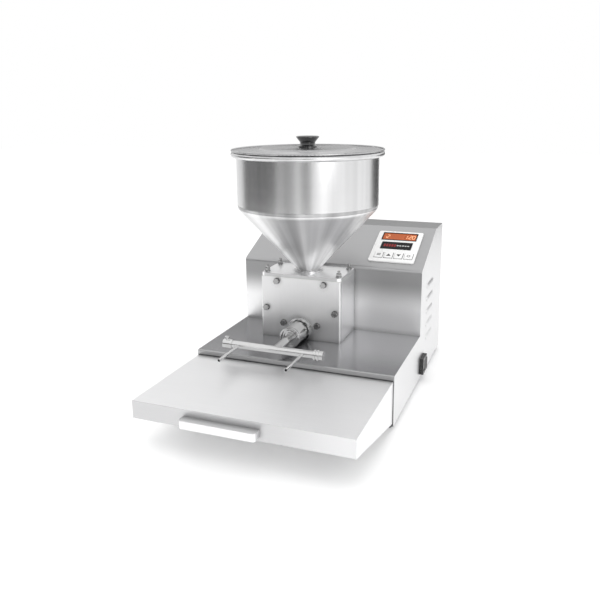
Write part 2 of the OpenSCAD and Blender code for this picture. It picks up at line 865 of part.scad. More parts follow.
module shaft_seal() {
    color(RUBBER) placed() difference() {
        y_rod(drive_x, z_gear, seal_r, y_column - seal_l, y_column);
        y_rod(drive_x, z_gear, shaft_r + fit, y_column - seal_l - over, y_column + over);
    }
}

// ---------------------------------------------------------------- hopper

// Outline of the plate and its gasket in plan
function seat_outline() = concat(
    [[pump_x + pump_w / 2, y_column], [pump_x - pump_w / 2, y_column]],
    arc([pump_x - pump_w / 2 + plate_round, y_pump + plate_round], plate_round, 180, 270),
    arc([pump_x + pump_w / 2 - plate_round, y_pump + plate_round], plate_round, 270, 360));

module stud_holes(r, z0, h) {
    for (sx = [-1, 1], y = [stud_front, stud_back])
        translate([pump_x + sx * stud_x, y, z0]) cylinder(r = r, h = h);
}

module hopper_gasket() {
    color(SEAL_WHITE) placed() difference() {
        translate([0, 0, z_block]) linear_extrude(gasket_t) polygon(seat_outline());
        translate([pump_x, hopper_y, z_block - over])
            cylinder(r = neck_r - hopper_t, h = gasket_t + 2 * over);
        stud_holes(stud_r + loose, z_block - over, gasket_t + 2 * over);
    }
}

module hopper_plate() {
    color(SATIN) placed() difference() {
        translate([0, 0, z_plate]) linear_extrude(plate_t) polygon(seat_outline());
        translate([pump_x, hopper_y, z_plate - over])
            cylinder(r = neck_r + fit, h = plate_t + 2 * over);
        stud_holes(stud_r + loose, z_plate - over, plate_t + 2 * over);
    }
}

module top_studs() {
    color(BRIGHT) placed() stud_holes(stud_r, z_block - stud_depth,
        stud_depth + gasket_t + plate_t + stud_out);
}

module top_nuts() {
    color(BRIGHT) placed() for (sx = [-1, 1], y = [stud_front, stud_back])
        translate([pump_x + sx * stud_x, y, z_seat]) difference() {
            union() {
                cylinder(r = stud_nut_af / 2 + 1, h = 1);
                translate([0, 0, 1]) hex(stud_nut_af, stud_nut_h);
            }
            translate([0, 0, -over]) cylinder(r = stud_r + fit / 5, h = stud_nut_h + 3);
        }
}

// The shoulder between cone and cylinder: angle of the cone, and where the bend ends
cone_a = atan(cone_h / (hopper_r - neck_r));
cone_bend = (90 - cone_a) / 2;
z_shoulder = z_cone + shoulder_r * tan(cone_bend);

module hopper_bowl() {
    z1 = z_rim + rim_flare * 0.8;
    wall = [
        [hopper_r - hopper_t, z_shoulder], [hopper_r, z_shoulder], [hopper_r, z_rim],
        [hopper_r + rim_flare, z1], [hopper_r + rim_flare, z1 + hopper_t * 1.4],
        [hopper_r - hopper_t, z_rim + hopper_t * 0.6]];
    color(SATIN) placed() translate([pump_x, hopper_y, 0]) {
        rotate_extrude($fn = 128) polygon(wall);
        rotate_extrude($fn = 128) translate([bead_out, z_bead]) circle(r = bead_r, $fn = 32);
    }
}

module hopper_cone() {
    bend_at = [hopper_r - shoulder_r, z_shoulder];
    wall = concat(
        [[neck_r, z_neck]],
        arc(bend_at, shoulder_r, cone_a - 90, 0, 10),
        arc(bend_at, shoulder_r - hopper_t, 0, cone_a - 90, 10),
        [[neck_r - hopper_t, z_neck + hopper_t * tan(cone_bend)], [neck_r - hopper_t, z_neck]]);
    color(SATIN) placed() translate([pump_x, hopper_y, 0])
        rotate_extrude($fn = 128) polygon(wall);
}

module hopper_neck() {
    color(SATIN) placed() translate([pump_x, hopper_y, 0]) difference() {
        union() {
            translate([0, 0, z_plate]) cylinder(r = neck_r, h = z_neck - z_plate, $fn = 128);
            translate([0, 0, z_seat]) cylinder(r = disc_r, h = disc_t, $fn = 128);
        }
        translate([0, 0, z_plate - over])
            cylinder(r = neck_r - hopper_t, h = z_neck - z_plate + 2 * over, $fn = 128);
    }
}

module lid() {
    skirt_r = hopper_r - hopper_t - lid_skirt_gap;
    profile = [
        [0, z_lid + lid_rise], [lid_step_r - 2, z_lid + lid_rise],
        [lid_step_r, z_lid + lid_rise - 1.5], [lid_edge_r - 6, z_lid],
        [lid_edge_r, z_lid], [lid_edge_r, z_lid + lid_t],
        [lid_edge_r - 6, z_lid + lid_t],
        [lid_step_r + 0.6, z_lid + lid_rise - 1.5 + lid_t],
        [lid_step_r - 1.4, z_lid + lid_rise + lid_t], [0, z_lid + lid_rise + lid_t]];
    color(SATIN) placed() translate([pump_x, hopper_y, 0]) {
        rotate_extrude($fn = 128) polygon(profile);
        rotate_extrude($fn = 128) translate([lid_edge_r, z_lid + lid_bead_r])
            circle(r = lid_bead_r, $fn = 24);
        rotate_extrude($fn = 128) translate([skirt_r - lid_t, z_lid - lid_skirt])
            square([lid_t, lid_skirt + lid_t / 2]);
    }
}

module lid_knob() {
    waist_r = knob_r * 0.64;
    foot_knob_r = knob_r * 0.83;
    profile = concat(
        [[0, 0], [foot_knob_r, 0], [foot_knob_r, knob_h * 0.10],
            [waist_r + 1, knob_h * 0.24], [waist_r, knob_h * 0.34],
            [waist_r + 0.6, knob_h * 0.46], [knob_r - 0.6, knob_h * 0.86]],
        arc([knob_r - 1.6, knob_h - 2], 1.6, -20, 90, 6),
        [[0, knob_h - 0.4]]);
    color(BLACK) placed() translate([pump_x, hopper_y, z_knob]) rotate_extrude() polygon(profile);
}

// ---------------------------------------------------------------- outlet, manifold, needles

// A groove turned into a round piece of radius r on the outlet's axis
module ring_groove(y0, r) {
    translate([pump_x, y0, z_outlet]) rotate([-90, 0, 0]) difference() {
        cylinder(r = r + over, h = groove_w);
        translate([0, 0, -over]) cylinder(r = r - groove_in, h = groove_w + 2 * over);
    }
}

module outlet_fitting() {
    color(SATIN) placed() difference() {
        union() {
            difference() {
                y_rod(pump_x, z_outlet, collar_r, y_collar, y_pump);
                // Flat that clears the deck, and a turned groove near the cover
                span_box([pump_x - collar_r, y_collar - over, z_deck - collar_r],
                    [pump_x + collar_r, y_pump + over, z_deck + loose]);
                ring_groove(y_pump - 2 * groove_w, collar_r);
            }
            y_rod(pump_x, z_outlet, barrel_r, y_collar - barrel_l, y_collar);
        }
        y_rod(pump_x, z_outlet, outlet_r, y_collar - barrel_l - over, y_pump + over);
    }
}

module union_nut() {
    color(BRIGHT) placed() difference() {
        y_rod(pump_x, z_outlet, nut_r, y_nut, y_nut + nut_l);
        y_rod(pump_x, z_outlet, barrel_r + fit, y_nut + nut_face_t, y_nut + nut_l + over);
        y_rod(pump_x, z_outlet, pipe_r + fit, y_nut - over, y_nut + nut_l);
        // A turned groove round the front, and two rings sunk into the front face
        ring_groove(y_nut + 2 * groove_w, nut_r);
        for (ring = [[nut_r - 3, nut_r - 5.5, 4], [nut_r - 7.5, nut_r - 9.5, 3]])
            translate([pump_x, y_nut - over, z_outlet]) rotate([-90, 0, 0]) difference() {
                cylinder(r = ring[0], h = over + ring[2]);
                translate([0, 0, -over]) cylinder(r = ring[1], h = 3 * over + ring[2]);
            }
    }
}

module outlet_pipe() {
    color(BRIGHT) placed() difference() {
        union() {
            y_rod(pump_x, z_outlet, pipe_r, manifold_y, y_nut + nut_face_t);
            y_rod(pump_x, z_outlet, ferrule_r, y_nut + nut_face_t, y_nut + nut_face_t + ferrule_t);
        }
        y_rod(pump_x, z_outlet, pipe_r - pipe_t, manifold_y - over, y_nut + nut_l);
        x_rod(manifold_y, z_outlet, manifold_r, pump_x - 2 * pipe_r, pump_x + 2 * pipe_r);
    }
}

module manifold_tube() {
    color(BRIGHT) placed() difference() {
        x_rod(manifold_y, z_outlet, manifold_r, manifold_x0, manifold_x1);
        x_rod(manifold_y, z_outlet, manifold_r - manifold_t, manifold_x0 - over, manifold_x1 + over);
        y_rod(pump_x, z_outlet, pipe_r - 3 * pipe_t, manifold_y, manifold_y + 2 * manifold_r);
        for (x = [pump_x - needle_left, pump_x + needle_right])
            y_rod(x, z_outlet, needle_r + fit / 5, manifold_y - 2 * manifold_r, manifold_y);
        translate([manifold_x0 + cap_l / 3, manifold_y, z_outlet])
            cylinder(r = thumb_r + fit, h = 2 * manifold_r);
    }
}

module manifold_caps() {
    cap_r = manifold_r + cap_t;
    color(BRIGHT) placed() {
        // Left cap with the hole for the thumb screw
        difference() {
            x_rod(manifold_y, z_outlet, cap_r, manifold_x0 - cap_t, manifold_x0 + cap_l);
            x_rod(manifold_y, z_outlet, manifold_r + fit / 5, manifold_x0, manifold_x0 + cap_l + over);
            translate([manifold_x0 + cap_l / 3, manifold_y, z_outlet])
                cylinder(r = thumb_r + fit, h = 2 * manifold_r);
        }
        // Right cap with two grip rings
        difference() {
            union() {
                x_rod(manifold_y, z_outlet, cap_r, manifold_x1 - cap_l, manifold_x1 + cap_t);
                for (i = [0, 1])
                    x_rod(manifold_y, z_outlet, cap_r + 1.6,
                        manifold_x1 - cap_l + 1.5 + i * 2.2 * cap_ring_w,
                        manifold_x1 - cap_l + 1.5 + (i * 2.2 + 1) * cap_ring_w);
            }
            x_rod(manifold_y, z_outlet, manifold_r + fit / 5, manifold_x1 - cap_l - over, manifold_x1);
        }
    }
}

module thumb_screw() {
    x = manifold_x0 + cap_l / 3;
    z1 = z_outlet + manifold_r + cap_t;
    color(BRIGHT) placed() {
        translate([x, manifold_y, z_outlet + manifold_r - manifold_t])
            cylinder(r = thumb_r, h = manifold_t + cap_t + 4);
        translate([x - 4, manifold_y - 1.2, z1 + 3.5]) cube([8, 2.4, 2.2]);
    }
}

module needles() {
    color(BRIGHT) placed() for (x = [pump_x - needle_left, pump_x + needle_right])
        difference() {
            y_rod(x, z_outlet, needle_r, manifold_y - manifold_r - needle_l,
                manifold_y - manifold_r + manifold_t);
            y_rod(x, z_outlet, needle_r - 0.5, manifold_y - manifold_r - needle_l - over,
                manifold_y);
        }
}

// ---------------------------------------------------------------- motor drive

module motor_standoffs() {
    color(GALVANISED) placed() four_spots(drive_x, z_gear, standoff_off, standoff_off)
        difference() {
            y_rod(0, 0, standoff_r, y_mount, y_motor_plate);
            y_rod(0, 0, screw_r + fit, y_motor_plate - screw_l, y_motor_plate + over);
        }
}

module motor_plate() {
    color(GALVANISED) placed() difference() {
        span_box([drive_x - motor_plate_w / 2, y_motor_plate, z_gear - motor_plate_w / 2],
            [drive_x + motor_plate_w / 2, y_gearbox, z_gear + motor_plate_w / 2]);
        y_rod(drive_x, z_gear, output_r + 3, y_motor_plate - over, y_gearbox + over);
        four_spots(drive_x, z_gear, standoff_off, standoff_off)
            y_rod(0, 0, screw_r + loose, y_motor_plate - over, y_gearbox + over);
    }
}

// A wedge of a ring along +Y between two angles
module jaw(x, y0, a0, l, r_in, r_out, spread) {
    far = r_out / cos(spread / 2) + over;
    translate([x, y0, z_gear]) rotate([-90, 0, 0]) intersection() {
        difference() {
            cylinder(r = r_out, h = l);
            translate([0, 0, -over]) cylinder(r = r_in, h = l + 2 * over);
        }
        rotate(a0) linear_extrude(l) polygon([[0, 0],
            far * [cos(spread / 2), -sin(spread / 2)], far * [cos(spread / 2), sin(spread / 2)]]);
    }
}

module coupling_hubs() {
    spider_in = 7;
    color(MACHINED) placed() {
        difference() {
            union() {
                y_rod(drive_x, z_gear, hub_r, y_hub, y_jaw);
                for (i = [0 : 2]) jaw(drive_x, y_jaw - fit, i * 120, jaw_l, spider_in, hub_r, jaw_a);
            }
            y_rod(drive_x, z_gear, shaft_r + fit / 5, y_hub - over, y_jaw + fit);
        }
        difference() {
            union() {
                y_rod(drive_x, z_gear, hub_r, y_hub_2, y_hub_2 + hub_l);
                for (i = [0 : 2])
                    jaw(drive_x, y_hub_2 - jaw_l + fit, 60 + i * 120, jaw_l, spider_in, hub_r, jaw_a);
            }
            y_rod(drive_x, z_gear, output_r + fit / 5, y_hub_2 - over, y_hub_2 + hub_l + over);
        }
    }
}

module coupling_spider() {
    color([0.75, 0.12, 0.10]) placed() union() {
        y_rod(drive_x, z_gear, 6.5, y_jaw + fit, y_hub_2 - fit);
        for (i = [0 : 5])
            jaw(drive_x, y_jaw + fit, 30 + i * 60, y_hub_2 - y_jaw - 2 * fit, 0.5,
                hub_r - 0.5, 59 - jaw_a);
    }
}

module output_shaft() {
    color(BRIGHT) placed() y_rod(drive_x, z_gear, output_r, y_hub_2, y_gearbox + 14);
}

module gearbox() {
    half = gearbox_w / 2;
    color(MACHINED) placed() difference() {
        translate([drive_x, y_motor, z_gear]) rotate([90, 0, 0]) linear_extrude(gearbox_l)
            polygon(round_rect([-half, -half], [half, half], 6));
        y_rod(drive_x, z_gear, output_r + fit, y_gearbox - over, y_gearbox + 15);
    }
}

module drive_motor() {
    color([0.20, 0.21, 0.23]) placed() {
        y_rod(drive_x, z_gear, motor_r, y_motor, y_motor + motor_l);
        y_rod(drive_x, z_gear, motor_r - 6, y_motor, y_motor + motor_l + 6);
    }
}

// ---------------------------------------------------------------- controls

function key_x(i) = (i - 1.5) * key_pitch + key_shift;

module control_panel() {
    half = panel_w / 2;
    boss_y = panel_l / 2 - panel_edge - boss_r - 1;
    boss_x = half - panel_edge - boss_r - 1;
    color(WHITE) placed() on_slope() {
        difference() {
            linear_extrude(panel_t)
                polygon(round_rect([-half, panel_up], [half, panel_up + panel_l], 4));
            span_box([-lcd_w / 2 - frame_w, lcd_mid - lcd_h / 2 - frame_w, -over],
                [lcd_w / 2 + frame_w, lcd_mid + lcd_h / 2 + frame_w, panel_t + over]);
            span_box([-strip_w / 2 - fit, strip_mid - strip_h / 2 - fit, -over],
                [strip_w / 2 + fit, strip_mid + strip_h / 2 + fit, panel_t + over]);
            for (i = [0 : 3])
                translate([key_x(i), key_mid, -over]) linear_extrude(panel_t + 2 * over)
                    square([key_w + 2 * key_gap, key_h + 2 * key_gap], center = true);
        }
        for (sx = [-1, 1], sy = [-1, 1])
            translate([sx * boss_x, panel_mid + sy * boss_y, -board_depth + board_t])
                cylinder(r = boss_r, h = board_depth - board_t);
    }
}

module lcd_frame() {
    color(BLACK) placed() on_slope() difference() {
        span_box([-lcd_w / 2 - frame_w, lcd_mid - lcd_h / 2 - frame_w, 0],
            [lcd_w / 2 + frame_w, lcd_mid + lcd_h / 2 + frame_w, panel_t + frame_proud]);
        span_box([-lcd_w / 2, lcd_mid - lcd_h / 2, -over],
            [lcd_w / 2, lcd_mid + lcd_h / 2, panel_t + over]);
    }
}

module lcd_module() {
    color(ORANGE) placed() on_slope() {
        span_box([-lcd_w / 2 + fit, lcd_mid - lcd_h / 2 + fit, -over],
            [lcd_w / 2 - fit, lcd_mid + lcd_h / 2 - fit, panel_t - 0.4]);
        span_box([-lcd_w / 2 - 3, lcd_mid - lcd_h / 2 - 1, -board_depth + board_t],
            [lcd_w / 2 + 3, lcd_mid + lcd_h / 2 + 1, -fit]);
    }
}

module indicator_strip() {
    color(BLACK) placed() on_slope() {
        span_box([-strip_w / 2, strip_mid - strip_h / 2, -fit],
            [strip_w / 2, strip_mid + strip_h / 2, panel_t + frame_proud]);
        span_box([-strip_w / 2 - 2, strip_mid - strip_h / 2 - 2, -1.2],
            [strip_w / 2 + 2, strip_mid + strip_h / 2 + 2, 0]);
    }
}

module control_board() {
    half = panel_w / 2 - panel_edge - 1;
    color(BOARD_GREEN) placed() on_slope()
        span_box([-half, panel_up + panel_edge + 1, -board_depth],
            [half, panel_up + panel_l - panel_edge - 1, -board_depth + board_t]);
}

module key_switches() {
    z0 = -board_depth + board_t;
    plunger = 1.6;
    z1 = -key_gap - key_flange_t - 3.6 - key_travel - 0.1;
    color([0.12, 0.12, 0.13]) placed() on_slope() for (i = [0 : 3])
        translate([key_x(i), key_mid, 0]) {
            span_box([-switch_block_w / 2, -switch_block_w / 2, z0],
                [switch_block_w / 2, switch_block_w / 2, z1 - plunger]);
            translate([0, 0, z0]) cylinder(r = 1.75, h = z1 - z0);
        }
}

// A key: its cap passes through the panel, its flange lies behind it, its stem meets the switch
module key(i) {
    color(WHITE) placed() on_slope() translate([key_x(i), key_mid, 0]) {
        translate([0, 0, -key_gap - key_flange_t / 2])
            linear_extrude(panel_t + key_proud + key_gap + key_flange_t / 2)
                polygon(round_rect([-key_w / 2, -key_h / 2], [key_w / 2, key_h / 2], 1.5));
        translate([0, 0, -key_gap - key_flange_t]) linear_extrude(key_flange_t)
            square([key_w + 2 * key_flange, key_h + 2 * key_flange], center = true);
        translate([0, 0, -key_gap - key_flange_t - 3.6]) cylinder(r = key_stem_r, h = 4);
    }
}

module power_supply() {
    x0 = -half_w + supply_in;
    y0 = y_back - supply_back;
    edge = 4;
    color([0.80, 0.80, 0.78]) placed() {
        span_box([x0, y0, z_floor], [x0 + supply_w, y0 + supply_d, z_floor + supply_h]);
        span_box([x0 + edge, y0 + edge, z_floor + supply_h - over],
            [x0 + supply_w - edge, y0 + supply_d * 0.7, z_floor + supply_h + edge - over]);
    }
}

module power_inlet() {
    wall = 2;
    w = inlet_w / 2;
    h = inlet_h / 2;
    color(BLACK) placed() {
        difference() {
            union() {
                span_box([inlet_x - w, y_back, inlet_z - h],
                    [inlet_x + w, y_back + inlet_t, inlet_z + h]);
                span_box([inlet_x - w + 2.2, y_back - inlet_deep, inlet_z - h + 2.2],
                    [inlet_x + w - 2.2, y_back + fit, inlet_z + h - 2.2]);
            }
            translate([inlet_x, y_back - inlet_deep + wall, inlet_z]) rotate([-90, 0, 0])
                linear_extrude(inlet_deep + inlet_t)
                    square([24.5, 16.5], center = true);
        }
        // The three flat contacts
        for (p = [[-7, 2], [0, -2], [7, 2]])
            span_box([inlet_x + p[0] - 1, y_back - inlet_deep + wall - fit, inlet_z + p[1] - 2],
                [inlet_x + p[0] + 1, y_back - 4, inlet_z + p[1] + 2]);
    }
}

// Place of the switch's parts: local x is along +Y, local y is out of the side, local z is up
module at_switch() {
    translate([half_w, switch_y, switch_z]) rotate([0, 0, 90]) scale([1, -1, 1]) children();
}

module switch_body() {
    opening_l = 2 * (rocker_end_r + loose);
    opening_w = rocker_w + 2 * loose;
    color(BLACK) placed() at_switch() difference() {
        union() {
            span_box([-switch_l / 2, 0, -switch_h / 2], [switch_l / 2, switch_frame, switch_h / 2]);
            span_box([-switch_cut, -switch_deep, -rocker_w / 2], [switch_cut, fit, rocker_w / 2]);
        }
        span_box([-opening_l / 2, switch_floor, -opening_w / 2],
            [opening_l / 2, switch_frame + over, opening_w / 2]);
        translate([0, rocker_pin_h, -rocker_w / 2 - 3]) cylinder(r = rocker_pin_r + fit,
            h = rocker_w + 6);
    }
}

module switch_rocker() {
    face = [
        [0, 0.2 - rocker_pin_h / 2], [rocker_end_r - 0.5, 2.3],
        [rocker_half, rocker_face_h], [0, rocker_face_h - rocker_dip],
        [-rocker_half, rocker_face_h], [-rocker_end_r + 0.5, 2.3]];
    color(BLACK) placed() at_switch() translate([0, rocker_pin_h, 0]) rotate(rocker_tilt) {
        translate([0, 0, -rocker_w / 2]) linear_extrude(rocker_w) polygon(face);
        translate([0, 0, -rocker_w / 2 - 2.5]) cylinder(r = rocker_pin_r, h = rocker_w + 5);
    }
}

housing();
bottom_plate();
rear_cover();
pan_screws();
feet();
bay_partition();
rail_brackets();
outer_rails();
middle_rails();
inner_rails();
tray();
tray_handle();
pump_body();
pump_gasket();
pump_cover();
hex_bolts();
pump_mount_plate();
shaft_bushes();
shaft_seal();
drive_gear();
drive_shaft();
driven_gear();
driven_shaft();
hopper_gasket();
hopper_plate();
top_studs();
top_nuts();
hopper_bowl();
hopper_cone();
hopper_neck();
lid();
lid_knob();
outlet_fitting();
union_nut();
outlet_pipe();
manifold_tube();
manifold_caps();
thumb_screw();
needles();
motor_standoffs();
motor_plate();
coupling_hubs();
coupling_spider();
output_shaft();
gearbox();
drive_motor();
control_panel();
lcd_frame();
lcd_module();
indicator_strip();
control_board();
key_switches();
key(0);  // key_1
key(1);  // key_2
key(2);  // key_3
key(3);  // key_4
power_supply();
power_inlet();
switch_body();
switch_rocker();
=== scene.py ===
"""Dresses a bench-top filling machine: steels, plastics, display, key symbols and its studio.

The packed model is loaded as a fixed frame. Each operator finishes one group of pieces or adds
its small detail, and the last one lays out the floor, the lamps and the camera.
Lengths are in metres, in the model's own frame: +X to the operator's right, +Y to the back.
"""

import math

import bmesh
import bpy
from mathutils import Euler, Matrix, Vector


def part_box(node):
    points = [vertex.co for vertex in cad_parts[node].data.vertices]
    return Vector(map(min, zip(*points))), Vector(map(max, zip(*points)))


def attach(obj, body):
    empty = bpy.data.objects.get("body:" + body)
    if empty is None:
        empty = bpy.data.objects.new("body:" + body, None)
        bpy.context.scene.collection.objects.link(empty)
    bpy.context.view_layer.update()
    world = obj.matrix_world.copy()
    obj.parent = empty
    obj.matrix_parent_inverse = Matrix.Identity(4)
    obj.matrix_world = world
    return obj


bl_info = {
    "name": "Filling machine dressing",
    "version": (1, 0, 0),
    "blender": (4, 5, 0),
    "location": "View3D > Sidebar > Filler",
    "description": "Finishes a packed filling machine and builds its studio",
    "category": "Object",
}

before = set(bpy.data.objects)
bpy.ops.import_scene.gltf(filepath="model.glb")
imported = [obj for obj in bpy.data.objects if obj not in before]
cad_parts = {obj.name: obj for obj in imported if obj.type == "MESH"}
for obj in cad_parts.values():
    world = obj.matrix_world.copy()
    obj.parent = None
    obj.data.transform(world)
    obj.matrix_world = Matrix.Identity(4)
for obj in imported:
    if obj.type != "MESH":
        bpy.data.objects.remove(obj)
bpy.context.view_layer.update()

# --------------------------------------------------------------------------- places

# What is added to the part's own x and y, which start at its base's middle and its deck's front
SHIFT_X = -0.004683
SHIFT_Y = -0.0955

# The sloped panel's own plane: x across, y up the slope, z out of it
SLOPE_FOOT = Vector((0.110317, 0.1095, 0.2195))
SLOPE_LEAN = math.atan(57.5 / 133.0)

# Places up the slope and out of it: the display, the strip, the keys and the panel's skin
DISPLAY_UP, DISPLAY_OUT = 0.105, 0.0021
STRIP_UP, STRIP_OUT = 0.0735, 0.0029
KEY_UP, KEY_OUT = 0.0403, 0.0041
PANEL_OUT = 0.0025
KEY_ACROSS = (-0.0271, -0.0077, 0.0117, 0.0311)
KEY_W, KEY_H = 0.0165, 0.0180

# The display's digits and where they stand across it, and how far they lean to the right
DISPLAY_DIGITS = ((-0.0235, "2"), (0.0125, "1"), (0.0215, "2"), (0.0280, "0"))
DIGIT_LEAN = 0.12

# The strip's bar graph: its number of marks, their pitch and width, a lit bar and a low mark
BARS = 10
BAR_PITCH = 0.0052
BAR_W = BAR_PITCH * 0.72
BAR_TALL, MARK_TALL = 0.0085, 0.0030

# The louvre slots: from front to back, height, middle of the top one, pitch and number
LOUVRE_ALONG = (0.1625, 0.2245)
LOUVRE_H = 0.0045
LOUVRE_TOP = 0.177
LOUVRE_PITCH = 0.026
LOUVRES = 5

# The hopper: its rounded shoulder between cylinder and cone, which carries painted shade, its base
# disc, its neck's weld
SHOULDER_H = 0.0069
DISC_T = 0.002
WELD_RING_R = 0.0208

# The housing's screws, in the part's own x and y: at each side, up the rear cover and along
# the bottom plate
SCREW_X = 0.1728
REAR_SCREW_Z = (0.047, 0.142, 0.247)
BOTTOM_SCREW_Y = (0.060, 0.265)

# A cross recess, laid as a dark print of the shade in it: how far the print starts inside the
# head, how high it stands, and its arm's width as a share of its length
RECESS_SINK, RECESS_T, RECESS_ARM = 0.00002, 0.00006, 0.21

# Where painted light and shade turn a steel to its other colour: along X, and upwards from the
# deck
DECK_LIGHT_FADE = (-0.04, 0.16)
FLANGE_LIGHT_FADE = (0.04, 0.17)
FRONT_LIGHT_FADE = (0.045, 0.100)

# Shares of a steel's own colour at the ends of its painted light and shade: the lit right ends
# of the deck and the flange, the lit foot and the shaded top of the column's front
DECK_LIT_END, FLANGE_LIT_END = 1.3, 1.25
FRONT_LIT_FOOT, FRONT_SHADED_TOP = 2.15, 0.74

# A normal counts as square to an axis from this share on, and a face as the deck's up to this
# height above it
SQUARE = 0.99
DECK_SLACK = 0.001


# --------------------------------------------------------------------------- settings


def size_prop(name, text, default):
    """A length in metres that the sidebar can change."""
    return bpy.props.FloatProperty(
        name=name, description=text, default=default, min=0.0, unit="LENGTH", precision=4
    )


def share_prop(name, text, default, top=1.0):
    """A plain number from nothing to its top."""
    return bpy.props.FloatProperty(name=name, description=text, default=default, min=0.0, max=top)


def colour_prop(name, text, default):
    """A linear colour."""
    return bpy.props.FloatVectorProperty(
        name=name, description=text, default=default, size=3, min=0.0, max=1.0, subtype="COLOR"
    )


class SteelSettings(bpy.types.PropertyGroup):
    """Colours and polish of the steels."""

    sheet_colour: colour_prop("Sheet steel", "Satin sheet of the housing", (0.46, 0.46, 0.465))
    # The deck's darker steel is painted shade on the housing's one satin steel.
    deck_shaded_colour: colour_prop("Deck steel", "Worn satin of the deck", (0.36, 0.36, 0.37))
    # The sides' paler steel is painted light on the same satin steel.
    side_lit_colour: colour_prop("Side steel", "Pale satin of the sides", (0.80, 0.80, 0.805))
    tray_colour: colour_prop("Tray steel", "Satin sheet of the tray", (0.92, 0.92, 0.925))
    # The flange's darker steel is painted shade on the tray's satin steel.
    flange_shaded_colour: colour_prop("Flange steel", "Front flange of the tray", (0.60, 0.60, 0.605))
    hopper_colour: colour_prop("Hopper steel", "Turned sheet of the hopper", (0.74, 0.74, 0.745))
    lid_colour: colour_prop("Lid steel", "Turned sheet of the lid", (0.50, 0.50, 0.505))
    block_colour: colour_prop("Pump block", "Ground steel of the pump", (0.94, 0.94, 0.945))
    bright_colour: colour_prop("Bright steel", "Turned fittings and bolts", (0.72, 0.72, 0.72))
    zinc_colour: colour_prop("Zinc", "Plated brackets and slides", (0.50, 0.52, 0.54))
    sheet_rough: share_prop("Sheet roughness", "Roughness of the satin sheet", 0.30)
    hopper_rough: share_prop("Hopper roughness", "Roughness of the hopper", 0.24)
    bright_rough: share_prop("Bright roughness", "Roughness of turned fittings", 0.09)


class PlasticSettings(bpy.types.PropertyGroup):
    """Colours of the plastics and rubber."""

    white_colour: colour_prop("White plastic", "Control panel and keys", (0.94, 0.94, 0.935))
    black_colour: colour_prop("Black plastic", "Knob, frames and switch", (0.012, 0.012, 0.013))
    rubber_colour: colour_prop("Rubber", "Feet and seal", (0.016, 0.016, 0.016))
    display_colour: colour_prop("Display", "Glow of the display", (0.44, 0.105, 0.035))
    digit_colour: colour_prop("Digits", "Lit segments", (0.95, 0.50, 0.28))
    bar_colour: colour_prop("Bar graph", "Lit half of the bar graph", (0.22, 0.02, 0.02))
    symbol_colour: colour_prop("Symbols", "Symbols on the keys", (0.015, 0.015, 0.017))


class DetailSettings(bpy.types.PropertyGroup):
    """Sizes of the small detail that is laid on the model."""

    weld_r: size_prop("Weld bead", "Radius of the weld round the hopper's neck", 0.0011)
    symbol_w: size_prop("Symbol width", "Width of a key's symbol", 0.0090)
    # The line round a key is painted shade of the gap between key and panel.
    gap_shade_w: size_prop("Key rim", "Width of the printed line round a key", 0.0008)
    hood_h: size_prop("Hood height", "Height of a pressed louvre hood", 0.0085)
    hood_out: size_prop("Hood depth", "How far a louvre hood stands out", 0.0024)
    symbol_t: size_prop("Symbol height", "How far a printed symbol stands up", 0.0001)
    digit_w: size_prop("Digit width", "Width of a digit on the display", 0.0062)
    digit_h: size_prop("Digit height", "Height of a digit on the display", 0.0115)
    segment_t: size_prop("Segment width", "Width of a digit's segment", 0.0013)
    recess_r: size_prop("Recess", "Half length of a screw's cross recess", 0.0022)


class StudioSettings(bpy.types.PropertyGroup):
    """Camera, lamps and floor."""

    camera_at: bpy.props.FloatVectorProperty(
        name="Camera", description="Place of the camera", size=3, subtype="TRANSLATION",
        unit="LENGTH", default=(0.40782, -1.0972, 0.5268),
    )
    camera_yaw: bpy.props.FloatProperty(
        name="Yaw", description="Turn of the camera to the left", subtype="ANGLE",
        default=math.radians(21.452),
    )
    camera_pitch: bpy.props.FloatProperty(
        name="Pitch", description="Tilt of the camera", subtype="ANGLE",
        default=math.radians(-12.734),
    )
    camera_roll: bpy.props.FloatProperty(
        name="Roll", description="Roll of the camera", subtype="ANGLE",
        default=math.radians(-0.544),
    )
    lens: bpy.props.FloatProperty(
        name="Lens", description="Focal length in millimetres", default=40.57, min=10.0
    )
    shift_y: bpy.props.FloatProperty(name="Shift", description="Camera shift", default=-0.075)
    world_light: share_prop("World light", "Light from all round", 1.00, 4.0)
    floor_colour: colour_prop("Floor", "Colour of the floor", (0.90, 0.90, 0.90))
    floor_glow: share_prop("Floor glow", "Lift of the floor towards white", 0.16, 4.0)
    key_watts: share_prop("Key light", "Power of the softbox at the right", 7.5, 500.0)
    fill_watts: share_prop("Fill light", "Power of the softbox at the left", 8.0, 500.0)
    top_watts: share_prop("Top light", "Power of the softbox above", 5.0, 500.0)


SETTINGS = {
    "filler_steel": SteelSettings,
    "filler_plastic": PlasticSettings,
    "filler_detail": DetailSettings,
    "filler_studio": StudioSettings,
}


# --------------------------------------------------------------------------- shader building

# Sockets of a colour mix: its share, its two colours and its result
MIX_SHARE, MIX_ONE, MIX_OTHER, MIX_RESULT = 0, 6, 7, 2

# Stretches that turn noise into the lines of brushed sheet and of ground blocks
SHEET_ALONG, SHEET_UPRIGHT = (0.02, 1.0, 1.0), (1.0, 1.0, 0.02)
BLOCK_ALONG, BLOCK_UPRIGHT = (0.04, 1.0, 1.0), (1.0, 1.0, 0.04)

# The same for the rings of turned steel, and for its slow clouds
RINGS, LOW_CLOUDS = (0.02, 0.02, 1.0), (1.0, 1.0, 1.4)

# The noise that turned steel's long marks start and end at
MARKS_START, MARKS_END = 0.38, 0.62

# The share of open sky from which the painted shade in a corner starts to lighten
NOOK_SHADE_START = 0.25


